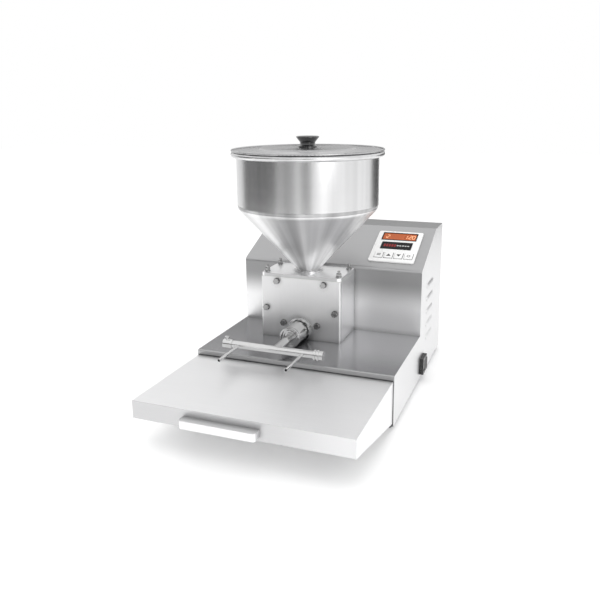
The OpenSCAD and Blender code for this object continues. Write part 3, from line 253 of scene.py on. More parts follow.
class Shader:
    """A material's node tree with short calls for the nodes that the finishes share."""

    def __init__(self, name):
        self.material = bpy.data.materials.new(name)
        self.material.use_nodes = True
        self.tree = self.material.node_tree
        self.bsdf = self.tree.nodes["Principled BSDF"]
        self.place = self.tree.nodes.new("ShaderNodeTexCoord").outputs["Object"]

    def node(self, kind, inputs=None, **fields):
        """A new node: fields are its own values, inputs its sockets' values or links."""
        made = self.tree.nodes.new(kind)
        for field, value in fields.items():
            setattr(made, field, value)
        for socket, value in (inputs or {}).items():
            if isinstance(value, bpy.types.NodeSocket):
                self.tree.links.new(value, made.inputs[socket])
            else:
                made.inputs[socket].default_value = value
        return made

    def noise(self, scale, stretch=(1, 1, 1), detail=3.0, rough=0.5):
        """Noise over the object's own place, stretched along its axes."""
        mapped = self.node("ShaderNodeMapping", {"Vector": self.place, "Scale": stretch})
        return self.node(
            "ShaderNodeTexNoise",
            {"Vector": mapped.outputs[0], "Scale": scale, "Detail": detail, "Roughness": rough},
        ).outputs["Fac"]

    def ramp(self, factor, low, high, start=0.0, end=1.0, **fields):
        """Turns start to end into low to high, and holds it there beyond them."""
        inputs = {"Value": factor, "From Min": start, "From Max": end,
                  "To Min": low, "To Max": high}
        return self.node("ShaderNodeMapRange", inputs, **fields).outputs["Result"]

    def uneven(self, factor, value, down, up):
        """A value times down to up."""
        return self.ramp(factor, value * down, value * up)

    def mix(self, share, one, other, **fields):
        """A mix of two colours, each of them a colour or a link."""
        inputs = {MIX_SHARE: share, MIX_ONE: one, MIX_OTHER: other}
        for socket in (MIX_ONE, MIX_OTHER):
            if isinstance(inputs[socket], tuple):
                inputs[socket] = (*inputs[socket], 1.0)
        return self.node("ShaderNodeMix", inputs, data_type="RGBA", **fields).outputs[MIX_RESULT]

    def mottled(self, factor, colour, down, up):
        """A colour made darker and lighter, from down to up times itself."""
        return self.mix(factor, shade(colour, down), shade(colour, up))

    def dimmed(self, base, level):
        """A base colour times a level."""
        return self.mix(1.0, base, level, blend_type="MULTIPLY")

    def add(self, one, other, share=0.5):
        """A weighted sum of two factors."""
        first = self.node("ShaderNodeMath", {0: one, 1: 1.0 - share}, operation="MULTIPLY")
        second = self.node("ShaderNodeMath", {0: other, 1: share}, operation="MULTIPLY")
        return self.node(
            "ShaderNodeMath", {0: first.outputs[0], 1: second.outputs[0]}, operation="ADD"
        ).outputs[0]

    def graded(self, base, axis, start, end, colour):
        """Turns a base colour into another one between two places along X, Y or Z: painted light
        and shade.
        """
        place = self.node("ShaderNodeSeparateXYZ", {0: self.place}).outputs[axis]
        share = self.ramp(place, 0.0, 1.0, start, end, interpolation_type="SMOOTHSTEP")
        return self.mix(share, base, colour)

    def streaks(self, base, centre, low, high, scale=2.6):
        """Long soft marks that run down turned sheet, from low to high times the base."""
        away = self.node("ShaderNodeVectorMath", {0: self.place, 1: centre},
                         operation="SUBTRACT").outputs[0]
        flat = self.node("ShaderNodeVectorMath", {0: away, 1: (1.0, 1.0, 0.0)},
                         operation="MULTIPLY").outputs[0]
        line = self.node("ShaderNodeVectorMath", {0: flat}, operation="NORMALIZE").outputs[0]
        marks = self.node("ShaderNodeTexNoise", {"Vector": line, "Scale": scale, "Detail": 3.0})
        level = self.ramp(marks.outputs[0], low, high, MARKS_START, MARKS_END)
        return self.dimmed(base, level)

    def painted_nook_shade(self, base, reach=0.010, dark=0.60):
        """Darkens a base colour in corners and round fittings with painted shade."""
        open_share = self.node(
            "ShaderNodeAmbientOcclusion", {"Distance": reach}, samples=6
        ).outputs["AO"]
        return self.dimmed(base, self.ramp(open_share, dark, 1.0, NOOK_SHADE_START))

    def feed(self, **inputs):
        """Sets or links the main shader's sockets, spaces written as underscores."""
        for socket, value in inputs.items():
            target = self.bsdf.inputs[socket.replace("_", " ")]
            if isinstance(value, bpy.types.NodeSocket):
                self.tree.links.new(value, target)
            elif isinstance(value, tuple) and len(value) == 3 and target.type == "RGBA":
                target.default_value = (*value, 1.0)
            else:
                target.default_value = value

    def bump(self, height, strength, depth=0.001, edge=0.0):
        """Bumps the surface, over soft edges of a given radius."""
        inputs = {"Height": height, "Strength": strength, "Distance": depth}
        if edge > 0.0:
            inputs["Normal"] = self.node("ShaderNodeBevel", {"Radius": edge}, samples=4).outputs[0]
        self.feed(Normal=self.node("ShaderNodeBump", inputs).outputs[0])


def shade(colour, share):
    """A colour made lighter or darker."""
    return tuple(min(1.0, c * share) for c in colour)


def brushed(name, colour, rough, stretch, edge=0.0006, vary=0.06, grain=420.0, bump=0.06,
            painted_light_fade=None):
    """Brushed or ground steel: fine lines along one direction over slow clouds.

    Its corners are darkened with painted shade. The last argument, when given, is a direction
    with a start, an end and a colour: the sheet turns to that colour along the direction, as
    painted light and shade that stand in for a graded light on drawn steel.
    """
    made = Shader(name)
    lines = made.noise(grain, stretch, detail=4.0, rough=0.6)
    clouds = made.noise(9.0, detail=4.0, rough=0.55)
    both = made.add(lines, clouds, share=0.35)
    base = made.mottled(both, colour, 1.0 - vary, 1.0 + vary)
    # Painted light and shade along one direction.
    if painted_light_fade:
        base = made.graded(base, *painted_light_fade)
    made.feed(
        Metallic=1.0,
        Base_Color=made.painted_nook_shade(base),
        Roughness=made.uneven(both, rough, 0.80, 1.22),
    )
    made.bump(lines, bump, depth=0.0004, edge=edge)
    return made.material


def turned(name, colour, rough, edge=0.0004, anisotropic=0.55, metallic=1.0, marks=None):
    """Steel turned on a lathe: fine rings round the upright axis with a long highlight.

    marks is the centre, the least and the most of the long marks that run down it.
    """
    made = Shader(name)
    lines = made.noise(300.0, RINGS, detail=4.0, rough=0.65)
    clouds = made.noise(14.0, LOW_CLOUDS)
    both = made.add(lines, clouds, share=0.4)
    base = made.mottled(both, colour, 0.94, 1.05)
    if marks:
        base = made.streaks(base, *marks)
    made.feed(
        Metallic=metallic,
        Base_Color=base,
        Roughness=made.uneven(both, rough, 0.85, 1.2),
        Anisotropic=anisotropic,
        Tangent=made.node("ShaderNodeTangent", direction_type="RADIAL", axis="Z").outputs[0],
    )
    made.bump(lines, 0.04, depth=0.0004, edge=edge)
    return made.material


def plain_steel(name, colour, rough, grain=160.0):
    """Polished or plated steel with faint marks of handling."""
    made = Shader(name)
    marks = made.noise(grain, detail=5.0, rough=0.65)
    made.feed(
        Metallic=1.0,
        Base_Color=made.mottled(marks, colour, 0.92, 1.06),
        Roughness=made.uneven(marks, rough, 0.75, 1.3),
    )
    made.bump(marks, 0.05, depth=0.0003, edge=0.0003)
    return made.material


def moulded(name, colour, rough, grain=1400.0, bump=0.12, vary=0.05, coat=0.0, edge=0.0004,
            specular=0.5):
    """Moulded plastic or rubber: a fine skin and slightly uneven gloss."""
    made = Shader(name)
    skin = made.noise(grain, detail=2.0)
    clouds = made.noise(26.0)
    made.feed(
        Base_Color=made.mottled(clouds, colour, 1.0 - vary, 1.0 + vary),
        Roughness=made.uneven(made.add(skin, clouds), rough, 0.85, 1.15),
        Specular_IOR_Level=specular,
        Coat_Weight=coat,
        Coat_Roughness=0.08,
    )
    made.bump(skin, bump, depth=0.0002, edge=edge)
    return made.material


def painted(name, colour, rough, coat=0.3):
    """Sprayed paint with a light orange-peel skin."""
    made = Shader(name)
    peel = made.noise(420.0, detail=1.5)
    dust = made.noise(18.0, detail=5.0, rough=0.7)
    made.feed(
        Base_Color=made.mottled(dust, colour, 0.93, 1.06),
        Roughness=made.uneven(dust, rough, 0.8, 1.2),
        Coat_Weight=coat,
        Coat_Roughness=0.15,
    )
    made.bump(peel, 0.10, depth=0.0003, edge=0.0006)
    return made.material


def lit(name, colour, glow, rough=0.25):
    """A lit part of the display under its clear window."""
    made = Shader(name)
    clouds = made.noise(55.0, detail=2.0)
    cloudy = made.mottled(clouds, colour, 0.88, 1.08)
    made.feed(
        Base_Color=cloudy,
        Emission_Color=cloudy,
        Emission_Strength=glow,
        Roughness=made.uneven(clouds, rough, 0.9, 1.1),
        Specular_IOR_Level=0.15,
    )
    return made.material


def ground(name, colour, stretch=BLOCK_UPRIGHT):
    """Ground steel of the pump's blocks."""
    return brushed(name, colour, rough=0.34, stretch=stretch, vary=0.05, grain=260.0)


def wear(material, *nodes):
    """Gives these CAD nodes one material in place of their own."""
    for name in nodes:
        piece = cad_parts[name]
        piece.data.materials.clear()
        piece.data.materials.append(material)


def paint_light_on_faces(node, material, chosen):
    """Gives the faces of a CAD node that chosen(middle, normal) picks one more material: a lighter
    or darker copy of the node's steel, as painted light and shade.
    """
    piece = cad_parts[node]
    piece.data.materials.append(material)
    slot = len(piece.data.materials) - 1
    turn = piece.matrix_world.to_3x3()
    for face in piece.data.polygons:
        if chosen(piece.matrix_world @ face.center, turn @ face.normal):
            face.material_index = slot


# --------------------------------------------------------------------------- mesh building


def put(name, bm, material, smooth=False):
    """Puts a bmesh into the scene as an object, flat or smooth."""
    bmesh.ops.recalc_face_normals(bm, faces=bm.faces)
    data = bpy.data.meshes.new(name)
    bm.to_mesh(data)
    bm.free()
    for face in data.polygons:
        face.use_smooth = smooth
    data.materials.append(material)
    piece = bpy.data.objects.new(name, data)
    bpy.context.scene.collection.objects.link(piece)
    return piece


def seat(name, bm, material, body, smooth=False):
    """Puts a bmesh into the scene as a piece that rides on a body."""
    piece = put(name, bm, material, smooth)
    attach(piece, body)


def add_prism(bm, outline, place, height):
    """A prism over an outline in a plane: place is the plane's matrix, height goes along its z."""
    low = [bm.verts.new(place @ Vector((x, y, 0.0))) for x, y in outline]
    high = [bm.verts.new(place @ Vector((x, y, height))) for x, y in outline]
    bm.faces.new(list(reversed(low)))
    bm.faces.new(high)
    count = len(outline)
    for i in range(count):
        j = (i + 1) % count
        bm.faces.new((low[i], low[j], high[j], high[i]))


def add_ring(bm, centre, radius, wire, around=128, section=10):
    """A closed torus about the upright axis."""
    loops = []
    for i in range(around):
        a = 2 * math.pi * i / around
        loop = []
        for j in range(section):
            b = 2 * math.pi * j / section
            reach = radius + wire * math.cos(b)
            loop.append(bm.verts.new((
                centre[0] + reach * math.cos(a),
                centre[1] + reach * math.sin(a),
                centre[2] + wire * math.sin(b),
            )))
        loops.append(loop)
    for i in range(around):
        for j in range(section):
            bm.faces.new((
                loops[i][j], loops[(i + 1) % around][j],
                loops[(i + 1) % around][(j + 1) % section], loops[i][(j + 1) % section],
            ))


def add_hood(bm, side, along, foot, height, out, steps=20, rises=6, end_share=1.0 / 6.0):
    """A pressed hood on an upright side: open at its foot, run out at its top and its ends."""
    outward = math.copysign(1.0, side)
    rows = []
    for j in range(rises + 1):
        climb = j / rises
        row = []
        for i in range(steps + 1):
            run = i / steps
            end = min(1.0, min(run, 1.0 - run) / end_share)
            bulge = out * math.cos(climb * math.pi / 2) * math.sin(end * math.pi / 2)
            y = along[0] + (along[1] - along[0]) * run
            row.append(bm.verts.new((side + outward * bulge, y, foot + height * climb)))
        rows.append(row)
    for j in range(rises):
        for i in range(steps):
            bm.faces.new((rows[j][i], rows[j][i + 1], rows[j + 1][i + 1], rows[j + 1][i]))


def rectangle(x, y, w, h):
    """Corners of a rectangle about a point."""
    left, right, low, high = x - w / 2, x + w / 2, y - h / 2, y + h / 2
    return [(left, low), (right, low), (right, high), (left, high)]


# --------------------------------------------------------------------------- operators


class FILLER_OT_sheet_metal(bpy.types.Operator):
    """Finishes the housing, its covers and the tray in satin sheet steel, with painted light and
    shade on the deck, the column's front, the sides and the tray's flange
    """

    bl_idname = "filler.sheet_metal"
    bl_label = "Sheet metal"

    def execute(self, context):
        steel = context.scene.filler_steel
        rough = steel.sheet_rough
        deck_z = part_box("pump_cover")[0].z
        deck_top = deck_z + DECK_SLACK
        front_low, front_high = (deck_z + up for up in FRONT_LIGHT_FADE)
        sheet = brushed("satin_sheet", steel.sheet_colour, rough, SHEET_ALONG)
        # The deck: a darker copy of the steel, painted shade, turning lighter to the right,
        # painted light.
        deck = brushed("satin_deck", steel.deck_shaded_colour, rough * 0.8, SHEET_ALONG,
                       painted_light_fade=("X", *DECK_LIGHT_FADE, shade(steel.deck_shaded_colour, DECK_LIT_END)))
        # The column's front: painted light at its foot, fading to painted shade towards its top.
        foot = shade(steel.sheet_colour, FRONT_LIT_FOOT)
        front = brushed("satin_front", foot, rough * 1.3, SHEET_ALONG,
                        painted_light_fade=("Z", front_low, front_high, shade(steel.sheet_colour, FRONT_SHADED_TOP)))
        # The sides: a paler copy of the steel, painted light.
        side = brushed("satin_side", steel.side_lit_colour, rough * 1.3, SHEET_UPRIGHT)
        tray = brushed("satin_tray", steel.tray_colour, rough * 1.4, SHEET_ALONG)
        # The tray's flange: a darker copy of the tray's steel, painted shade, turning lighter to
        # the right, painted light.
        flange = brushed("satin_flange", steel.flange_shaded_colour, rough * 1.2, SHEET_ALONG,
                         painted_light_fade=("X", *FLANGE_LIGHT_FADE, shade(steel.flange_shaded_colour, FLANGE_LIT_END)))
        zinc = plain_steel("zinc_plate", steel.zinc_colour, rough=0.38, grain=60.0)
        wear(sheet, "housing", "rear_cover")
        paint_light_on_faces("housing", deck, lambda at, n: n.z > SQUARE and at.z < deck_top)
        paint_light_on_faces("housing", front, lambda at, n: n.y < -SQUARE and deck_z < at.z < SLOPE_FOOT.z)
        paint_light_on_faces("housing", side, lambda at, n: abs(n.x) > SQUARE)
        wear(tray, "tray", "tray_handle")
        paint_light_on_faces("tray", flange, lambda at, n: n.y < -SQUARE)
        wear(zinc, "bottom_plate", "bay_partition", "rail_brackets", "outer_rails",
             "middle_rails", "inner_rails")
        return {"FINISHED"}


class FILLER_OT_louvre_hoods(bpy.types.Operator):
    """Presses a shallow hood out of the right side above each louvre slot"""

    bl_idname = "filler.louvre_hoods"
    bl_label = "Louvre hoods"

    def execute(self, context):
        detail = context.scene.filler_detail
        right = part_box("housing")[1].x
        bm = bmesh.new()
        for i in range(LOUVRES):
            foot = LOUVRE_TOP - i * LOUVRE_PITCH - LOUVRE_H / 2
            add_hood(bm, right, LOUVRE_ALONG, foot, detail.hood_h, detail.hood_out)
        # The hoods take the sides' paler steel, painted light.
        seat("louvre_hoods", bm, bpy.data.materials["satin_side"], "machine",
             smooth=True)
        return {"FINISHED"}


class FILLER_OT_pump(bpy.types.Operator):
    """Finishes the pump block, its cover, its gaskets and its sealed inner parts"""

    bl_idname = "filler.pump"
    bl_label = "Pump"

    def execute(self, context):
        steel = context.scene.filler_steel
        bright = plain_steel("bright_bolt", steel.bright_colour, steel.bright_rough)
        # The hopper plate's front edge gets a darker copy of the block's steel, painted shade.
        edge = ground("ground_edge", shade(steel.block_colour, 0.60), BLOCK_ALONG)
        wear(ground("ground_block", steel.block_colour), "pump_body", "hopper_plate")
        wear(ground("ground_cover", shade(steel.block_colour, 0.82)), "pump_cover")
        paint_light_on_faces("hopper_plate", edge, lambda at, n: n.y < -SQUARE)
        dull = plain_steel("dull_bolt", shade(steel.bright_colour, 0.45), rough=0.14, grain=300.0)
        wear(dull, "hex_bolts", "top_studs", "top_nuts", "pan_screws")
        wear(bright, "drive_gear", "driven_gear", "drive_shaft", "driven_shaft", "output_shaft")
        wear(moulded("seal_sheet", (0.72, 0.73, 0.70), rough=0.5), "pump_gasket", "hopper_gasket")
        wear(plain_steel("bronze_bush", (0.62, 0.42, 0.20), rough=0.3), "shaft_bushes")
        return {"FINISHED"}


class FILLER_OT_outlet(bpy.types.Operator):
    """Finishes the outlet, the union nut, the manifold and the needles in turned steel"""

    bl_idname = "filler.outlet"
    bl_label = "Outlet and needles"

    def execute(self, context):
        steel = context.scene.filler_steel
        bright = plain_steel("turned_fitting", steel.bright_colour, steel.bright_rough,
                             grain=220.0)
        wear(bright, "outlet_fitting", "union_nut", "outlet_pipe", "manifold_tube",
             "manifold_caps", "thumb_screw", "needles")
        return {"FINISHED"}


class FILLER_OT_hopper(bpy.types.Operator):
    """Finishes the hopper and its lid, and lays the weld round the neck"""

    bl_idname = "filler.hopper"
    bl_label = "Hopper and lid"

    def execute(self, context):
        steel = context.scene.filler_steel
        detail = context.scene.filler_detail
        low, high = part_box("hopper_cone")
        axis = (low + high) / 2
        centre = (axis.x, axis.y, 0.0)
        spun = turned("spun_hopper", steel.hopper_colour, steel.hopper_rough,
                      marks=(centre, 0.80, 1.05))
        wear(spun, "hopper_bowl", "hopper_neck")
        # The cone gets a lighter copy of the hopper's steel, painted light, and its rounded
        # shoulder a darker one, painted shade.
        wear(turned("spun_cone", shade(steel.hopper_colour, 1.34), steel.hopper_rough * 1.3,
                    metallic=0.80, marks=(centre, 0.66, 1.05)), "hopper_cone")
        shoulder = turned("spun_shoulder", shade(steel.hopper_colour, 0.62),
                          steel.hopper_rough, marks=(centre, 0.60, 1.20))
        paint_light_on_faces("hopper_cone", shoulder, lambda at, n: at.z > high.z - SHOULDER_H)
        wear(turned("spun_lid", steel.lid_colour, steel.hopper_rough * 1.1), "lid")
        top_of_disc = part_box("hopper_plate")[1].z + DISC_T
        bm = bmesh.new()
        add_ring(bm, (axis.x, axis.y, top_of_disc), WELD_RING_R, detail.weld_r)
        bead = plain_steel("weld_steel", shade(steel.hopper_colour, 0.8), rough=0.42, grain=500.0)
        seat("neck_weld", bm, bead, "machine", smooth=True)
        return {"FINISHED"}


class FILLER_OT_drive(bpy.types.Operator):
    """Finishes the motor, its gearbox, its coupling and the mains parts in the column"""

    bl_idname = "filler.drive"
    bl_label = "Drive"

    def execute(self, context):
        steel = context.scene.filler_steel
        zinc = plain_steel("zinc_mount", steel.zinc_colour, rough=0.36, grain=70.0)
        cast = plain_steel("cast_aluminium", (0.62, 0.63, 0.65), rough=0.45, grain=240.0)
        wear(zinc, "pump_mount_plate", "motor_plate", "motor_standoffs")
        wear(cast, "gearbox", "coupling_hubs")
        wear(painted("motor_paint", (0.045, 0.05, 0.06), rough=0.4), "drive_motor")
        wear(painted("supply_case", (0.62, 0.62, 0.60), rough=0.45), "power_supply")
        wear(moulded("red_elastomer", (0.45, 0.03, 0.02), rough=0.45), "coupling_spider")
        return {"FINISHED"}


class FILLER_OT_plastics(bpy.types.Operator):
    """Finishes the knob, the feet, the switch, the panel and the keys"""

    bl_idname = "filler.plastics"
    bl_label = "Plastics"

    def execute(self, context):
        plastic = context.scene.filler_plastic
        black = moulded("black_plastic", plastic.black_colour, rough=0.28, bump=0.05, coat=0.25)
        white = moulded("white_plastic", plastic.white_colour, rough=0.34, bump=0.04, vary=0.02,
                        coat=0.15)
        rubber = moulded("black_rubber", plastic.rubber_colour, rough=0.62, bump=0.25)
        gloss = moulded("gloss_black", plastic.black_colour, rough=0.09, bump=0.02, coat=1.0)
        window = moulded("dark_window", plastic.black_colour, rough=0.20, bump=0.02,
                         specular=0.12)
        wear(gloss, "lid_knob")
        wear(window, "lcd_frame", "indicator_strip")
        wear(black, "switch_body", "switch_rocker", "power_inlet", "key_switches")
        wear(white, "control_panel", "key_1", "key_2", "key_3", "key_4")
        wear(rubber, "feet", "shaft_seal")
        wear(moulded("board_green", (0.01, 0.10, 0.04), rough=0.4), "control_board")
        return {"FINISHED"}


def on_slope(x, up, out, lean=0.0):
    """A matrix for a point on the panel; lean skews what stands there to the right."""
    skew = Matrix.Identity(4)
    skew[0][1] = lean
    return (
        Matrix.Translation(SLOPE_FOOT)
        @ Matrix.Rotation(SLOPE_LEAN, 4, "X")
        @ Matrix.Translation((x, up, out))
        @ skew
    )


# The seven segments of a digit: a top, b and c right, d bottom, e and f left, g middle
DIGITS = {
    "0": "abcdef", "1": "bc", "2": "abged", "3": "abgcd", "4": "fgbc",
    "5": "afgcd", "6": "afgedc", "7": "abc", "8": "abcdefg", "9": "abcdfg",
}


def segment(name, w, h, t):
    """The outline of one segment of a digit, with pointed ends."""
    flat = {"a": h / 2 - t / 2, "g": 0.0, "d": -h / 2 + t / 2}
    gap = t * 0.62
    if name in flat:
        y = flat[name]
        reach = w / 2 - gap
        return [(-reach, y), (-reach + t / 2, y - t / 2), (reach - t / 2, y - t / 2), (reach, y),
                (reach - t / 2, y + t / 2), (-reach + t / 2, y + t / 2)]
    x = (w / 2 - t / 2) * (1 if name in "bc" else -1)
    low, high = (0.0, h / 2 - t / 2) if name in "bf" else (-h / 2 + t / 2, 0.0)
    low, high = low + gap * 0.5, high - gap * 0.5
    return [(x, low), (x + t / 2, low + t / 2), (x + t / 2, high - t / 2), (x, high),
            (x - t / 2, high - t / 2), (x - t / 2, low + t / 2)]


class FILLER_OT_display(bpy.types.Operator):
    """Lights the display with plain numbers and the strip with a bar graph"""

    bl_idname = "filler.display"
    bl_label = "Display"

    def execute(self, context):
        plastic = context.scene.filler_plastic
        detail = context.scene.filler_detail
        wear(lit("display_glow", plastic.display_colour, glow=0.25), "lcd_module")
        lit_digit = lit("digit_glow", plastic.digit_colour, glow=0.55)
        dark_digit = lit("digit_ghost", shade(plastic.display_colour, 0.72), glow=0.10)
        thin = detail.symbol_t
        on, off = bmesh.new(), bmesh.new()
        for x, digit in DISPLAY_DIGITS:
            place = on_slope(x, DISPLAY_UP, DISPLAY_OUT, DIGIT_LEAN)
            for name in "abcdefg":
                outline = segment(name, detail.digit_w, detail.digit_h, detail.segment_t)
                add_prism(on if name in DIGITS[digit] else off, outline, place, thin)
        seat("display_digits", on, lit_digit, "machine")
        seat("display_ghosts", off, dark_digit, "machine")
        bars, marks = bmesh.new(), bmesh.new()
        for i in range(BARS):
            bm, tall = (bars, BAR_TALL) if i < BARS // 2 else (marks, MARK_TALL)
            x = (i - (BARS - 1) / 2) * BAR_PITCH
            add_prism(bm, rectangle(0.0, 0.0, BAR_W, tall), on_slope(x, STRIP_UP, STRIP_OUT), thin)
        bar_glow = lit("bar_glow", plastic.bar_colour, glow=0.35)
        seat("strip_bars", bars, bar_glow, "machine")
        mark_glow = lit("mark_glow", (0.6, 0.6, 0.6), glow=0.10)
        seat("strip_marks", marks, mark_glow, "machine")
        return {"FINISHED"}


class FILLER_OT_key_symbols(bpy.types.Operator):
    """Prints a plain symbol on each key: a list, up, down and a ring, and paints the shade of the
    gap round each key as a dark line
    """

    bl_idname = "filler.key_symbols"
    bl_label = "Key symbols"

    def execute(self, context):
        detail = context.scene.filler_detail
        ink = moulded("key_ink", context.scene.filler_plastic.symbol_colour, rough=0.5, bump=0.02)
        # The symbols are drawn in shares of their width
        w = detail.symbol_w
        h = w * 0.78
        up = [(-w / 2, -h / 2), (w / 2, -h / 2), (0.0, h / 2)]
        down = [(x, -y) for x, y in reversed(up)]
        lines = [rectangle(0.0, y, w * 0.8, w * 0.14) for y in (-w * 0.28, 0.0, w * 0.28)]
        steps = 28
        inner, outer = w * 0.26, w * 0.38
        ring = []
        for i in range(steps):
            a, b = (2 * math.pi * k / steps for k in (i, i + 1))
            corners = ((inner, a), (outer, a), (outer, b), (inner, b))
            ring.append([(r * math.cos(c), r * math.sin(c)) for r, c in corners])
        # A dark line round each key: painted shade of the gap between key and panel.
        gap_shade_mesh = bmesh.new()
        line = detail.gap_shade_w
        rim = [rectangle(0.0, end * KEY_H / 2, KEY_W + line, line) for end in (1, -1)]
        rim += [rectangle(end * KEY_W / 2, 0.0, line, KEY_H) for end in (1, -1)]
        for x in KEY_ACROSS:
            for outline in rim:
                add_prism(gap_shade_mesh, outline, on_slope(x, KEY_UP, PANEL_OUT), detail.symbol_t)
        rim_ink = moulded("rim_ink", (0.05, 0.05, 0.055), rough=0.5)
        seat("key_rims", gap_shade_mesh, rim_ink, "machine")
        for i, outlines in enumerate((lines, [up], [down], ring)):
            bm = bmesh.new()
            for outline in outlines:
                add_prism(bm, outline, on_slope(KEY_ACROSS[i], KEY_UP, KEY_OUT), detail.symbol_t)
            seat(f"key_symbol_{i + 1}", bm, ink, f"key_{i + 1}_body")
        return {"FINISHED"}


class FILLER_OT_screw_recesses(bpy.types.Operator):
    """Marks the cross recess in the head of each housing screw with a dark cross of painted shade
    """

    bl_idname = "filler.screw_recesses"
    bl_label = "Screw recesses"

    def execute(self, context):
        detail = context.scene.filler_detail
        low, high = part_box("pan_screws")
        # The cross is painted shade of the recess.
        dark = moulded("recess_dark", (0.02, 0.02, 0.02), rough=0.6, bump=0.02)
        bm = bmesh.new()
        length = 2 * detail.recess_r
        width = length * RECESS_ARM
        cross = [rectangle(0.0, 0.0, length, width), rectangle(0.0, 0.0, width, length)]
        turn_back = Matrix.Rotation(math.radians(-90), 4, "X")
        turn_down = Matrix.Rotation(math.radians(180), 4, "X")
        back_y, under_z = high.y - RECESS_SINK, low.z + RECESS_SINK
        for side in (-1, 1):
            x = side * SCREW_X + SHIFT_X
            places = [Matrix.Translation((x, back_y, z)) @ turn_back for z in REAR_SCREW_Z]
            places += [Matrix.Translation((x, y + SHIFT_Y, under_z)) @ turn_down
                       for y in BOTTOM_SCREW_Y]
            for place in places:
                for outline in cross:
                    add_prism(bm, outline, place, RECESS_T)
        seat("screw_crosses", bm, dark, "machine")
        return {"FINISHED"}


class FILLER_OT_stage(bpy.types.Operator):
    """Lays the floor, hangs the lamps and sets the camera"""

    bl_idname = "filler.stage"
    bl_label = "Stage"

    def execute(self, context):
        studio = context.scene.filler_studio
        lay_floor(studio)
        light_world(context.scene, studio)
        place_lamps(context.scene, studio)
        place_camera(context.scene, studio)
        context.scene.view_settings.view_transform = "Standard"
        return {"FINISHED"}


# --------------------------------------------------------------------------- studio

# Side of the square floor, and the point that the lamps face
FLOOR_W = 12.0
LAMP_TARGET = (0.0, 0.0, 0.25)

# Softboxes, as (name, place, width, height, setting of the power, seen in reflections)
SOFTBOXES = (
    ("key_box", (1.5, -1.2, 0.9), 0.9, 1.4, "key_watts", True),
    ("fill_box", (-1.6, -0.9, 0.8), 0.7, 1.2, "fill_watts", False),
    ("top_box", (0.2, -0.9, 1.9), 1.2, 1.2, "top_watts", False),
)

# Boards that the steel sees, as (name, bearing, distance, width, foot, top, level): the
# bearing is turned from the front towards the right, in degrees
BOARDS = (
    ("left_board", -64.0, 1.6, 2.4, -0.2, 0.95, 0.19),
    ("front_left_board", -12.0, 1.6, 0.66, 0.0, 0.95, 0.44),
    ("front_board", 17.0, 1.6, 0.52, 0.0, 0.95, 0.22),
    ("right_board", 157.0, 1.7, 1.10, 0.06, 0.60, 0.06),
    ("back_board", -159.0, 2.1, 2.0, 0.45, 0.85, 0.20),
)


def sheet_of(width, height):
    """A bmesh of one flat rectangle."""
    bm = bmesh.new()
    bm.faces.new([bm.verts.new((x, y, 0.0)) for x, y in rectangle(0.0, 0.0, width, height)])
    return bm


def seen_rays(tree):
    """One for rays from the camera, off metal and through glass, nought for all others."""
    paths = tree.nodes.new("ShaderNodeLightPath").outputs
    seen = paths["Is Camera Ray"]
    for name in ("Is Glossy Ray", "Is Transmission Ray"):
        either = tree.nodes.new("ShaderNodeMath")
        either.operation = "MAXIMUM"
        tree.links.new(seen, either.inputs[0])
        tree.links.new(paths[name], either.inputs[1])
        seen = either.outputs[0]
    return seen


def lay_floor(studio):
    """A wide pale floor that is lifted towards white and keeps the machine's shadow."""
    made = Shader("floor_white")
    clouds = made.noise(1.5, detail=2.0)
    glow = made.node("ShaderNodeMath", {0: seen_rays(made.tree), 1: studio.floor_glow},
                     operation="MULTIPLY")
    made.feed(
        Base_Color=made.mottled(clouds, studio.floor_colour, 0.995, 1.0),
        Roughness=0.9,
        Specular_IOR_Level=0.0,
        Emission_Color=(1.0, 1.0, 1.0),
        Emission_Strength=glow.outputs[0],
    )
    put("studio_floor", sheet_of(FLOOR_W, FLOOR_W), made.material)


def light_world(scene, studio):
    """White to the camera and to metal, a plain soft level to everything else."""
    world = bpy.data.worlds.new("studio_world")
    scene.world = world
    world.use_nodes = True
    tree = world.node_tree
    back = tree.nodes["Background"]
    back.inputs["Color"].default_value = (1.0, 1.0, 1.0, 1.0)
    level = tree.nodes.new("ShaderNodeMapRange")
    tree.links.new(seen_rays(tree), level.inputs["Value"])
    level.inputs["To Min"].default_value = studio.world_light
    level.inputs["To Max"].default_value = 1.0
    tree.links.new(level.outputs["Result"], back.inputs["Strength"])


def aim(piece, at, towards):
    """Places a lamp or a card so that it faces a point."""
    piece.location = at
    look = Vector(towards) - Vector(at)
    piece.rotation_euler = look.to_track_quat("-Z", "Y").to_euler()


def softbox(scene, name, at, width, height, watts, in_metal):
    """A rectangular area lamp aimed at the machine, seen in metal or not."""
    data = bpy.data.lights.new(name, "AREA")
    data.shape = "RECTANGLE"
    data.size = width
    data.size_y = height
    data.energy = watts
    lamp = bpy.data.objects.new(name, data)
    scene.collection.objects.link(lamp)
    aim(lamp, at, LAMP_TARGET)
    lamp.visible_camera = False
    lamp.visible_glossy = in_metal


def dark_card(name, at, towards, width, height, level):
    """A dark board that only the metal sees, as a studio uses to draw edges in steel."""
    made = Shader(name)
    clouds = made.noise(2.0, detail=2.0)
    made.feed(
        Base_Color=(0.0, 0.0, 0.0),
        Roughness=1.0,
        Specular_IOR_Level=0.0,
        Emission_Color=made.mottled(clouds, (level, level, level), 0.95, 1.05),
        Emission_Strength=1.0,
    )
    card = put(name, sheet_of(width, height), made.material)
    aim(card, at, towards)
    card.visible_camera = False
    card.visible_diffuse = False
    card.visible_shadow = False


def place_lamps(scene, studio):
    """Softboxes at the right, the left and above, with dark boards round the machine."""
    for name, at, width, height, power, in_metal in SOFTBOXES:
        softbox(scene, name, at, width, height, getattr(studio, power), in_metal)
    for name, bearing, distance, width, foot, top, level in BOARDS:
        turn = math.radians(bearing)
        middle_z = (foot + top) / 2
        at = (distance * math.sin(turn), -distance * math.cos(turn), middle_z)
        dark_card(name, at, (0.0, 0.0, middle_z), width, top - foot, level)


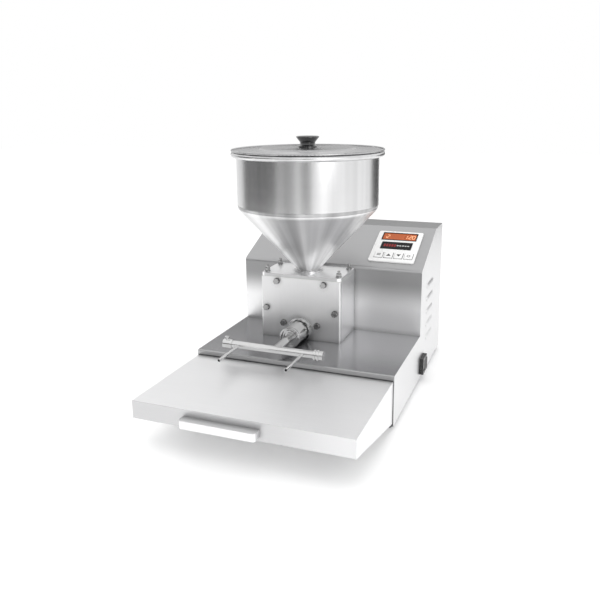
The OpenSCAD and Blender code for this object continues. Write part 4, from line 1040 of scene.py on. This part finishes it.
def place_camera(scene, studio):
    """The camera of the photograph."""
    data = bpy.data.cameras.new("photo_camera")
    data.lens = studio.lens
    data.sensor_width = 36.0
    data.sensor_fit = "HORIZONTAL"
    data.shift_y = studio.shift_y
    data.clip_start = 0.02
    data.clip_end = 60.0
    camera = bpy.data.objects.new("photo_camera", data)
    scene.collection.objects.link(camera)
    camera.location = studio.camera_at
    turn = Euler((math.pi / 2 + studio.camera_pitch, 0.0, studio.camera_yaw), "XYZ").to_matrix()
    roll = Euler((0.0, 0.0, studio.camera_roll), "XYZ").to_matrix()
    camera.rotation_mode = "QUATERNION"
    camera.rotation_quaternion = (turn @ roll).to_quaternion()
    scene.camera = camera


# --------------------------------------------------------------------------- add-on


OPERATORS = (
    FILLER_OT_sheet_metal,
    FILLER_OT_louvre_hoods,
    FILLER_OT_pump,
    FILLER_OT_outlet,
    FILLER_OT_hopper,
    FILLER_OT_drive,
    FILLER_OT_plastics,
    FILLER_OT_display,
    FILLER_OT_key_symbols,
    FILLER_OT_screw_recesses,
    FILLER_OT_stage,
)


class FILLER_PT_sidebar(bpy.types.Panel):
    """Lists the settings and the operators"""

    bl_idname = "FILLER_PT_sidebar"
    bl_label = "Filling machine"
    bl_space_type = "VIEW_3D"
    bl_region_type = "UI"
    bl_category = "Filler"

    def draw(self, context):
        for key, group in SETTINGS.items():
            box = self.layout.box()
            box.label(text=group.__doc__)
            settings = getattr(context.scene, key)
            for name in group.__annotations__:
                box.prop(settings, name)
        for operator in OPERATORS:
            self.layout.operator(operator.bl_idname)


def register():
    """Registers the settings, the operators and the sidebar."""
    for key, group in SETTINGS.items():
        bpy.utils.register_class(group)
        setattr(bpy.types.Scene, key, bpy.props.PointerProperty(type=group))
    for operator in OPERATORS:
        bpy.utils.register_class(operator)
    bpy.utils.register_class(FILLER_PT_sidebar)


def unregister():
    """Takes back what register added."""
    bpy.utils.unregister_class(FILLER_PT_sidebar)
    for operator in reversed(OPERATORS):
        bpy.utils.unregister_class(operator)
    for key, group in reversed(list(SETTINGS.items())):
        delattr(bpy.types.Scene, key)
        bpy.utils.unregister_class(group)


def main():
    """Registers the add-on and runs every operator in order."""
    register()
    for operator in OPERATORS:
        group, name = operator.bl_idname.split(".")
        getattr(getattr(bpy.ops, group), name)()


if __name__ == "__main__":
    main()
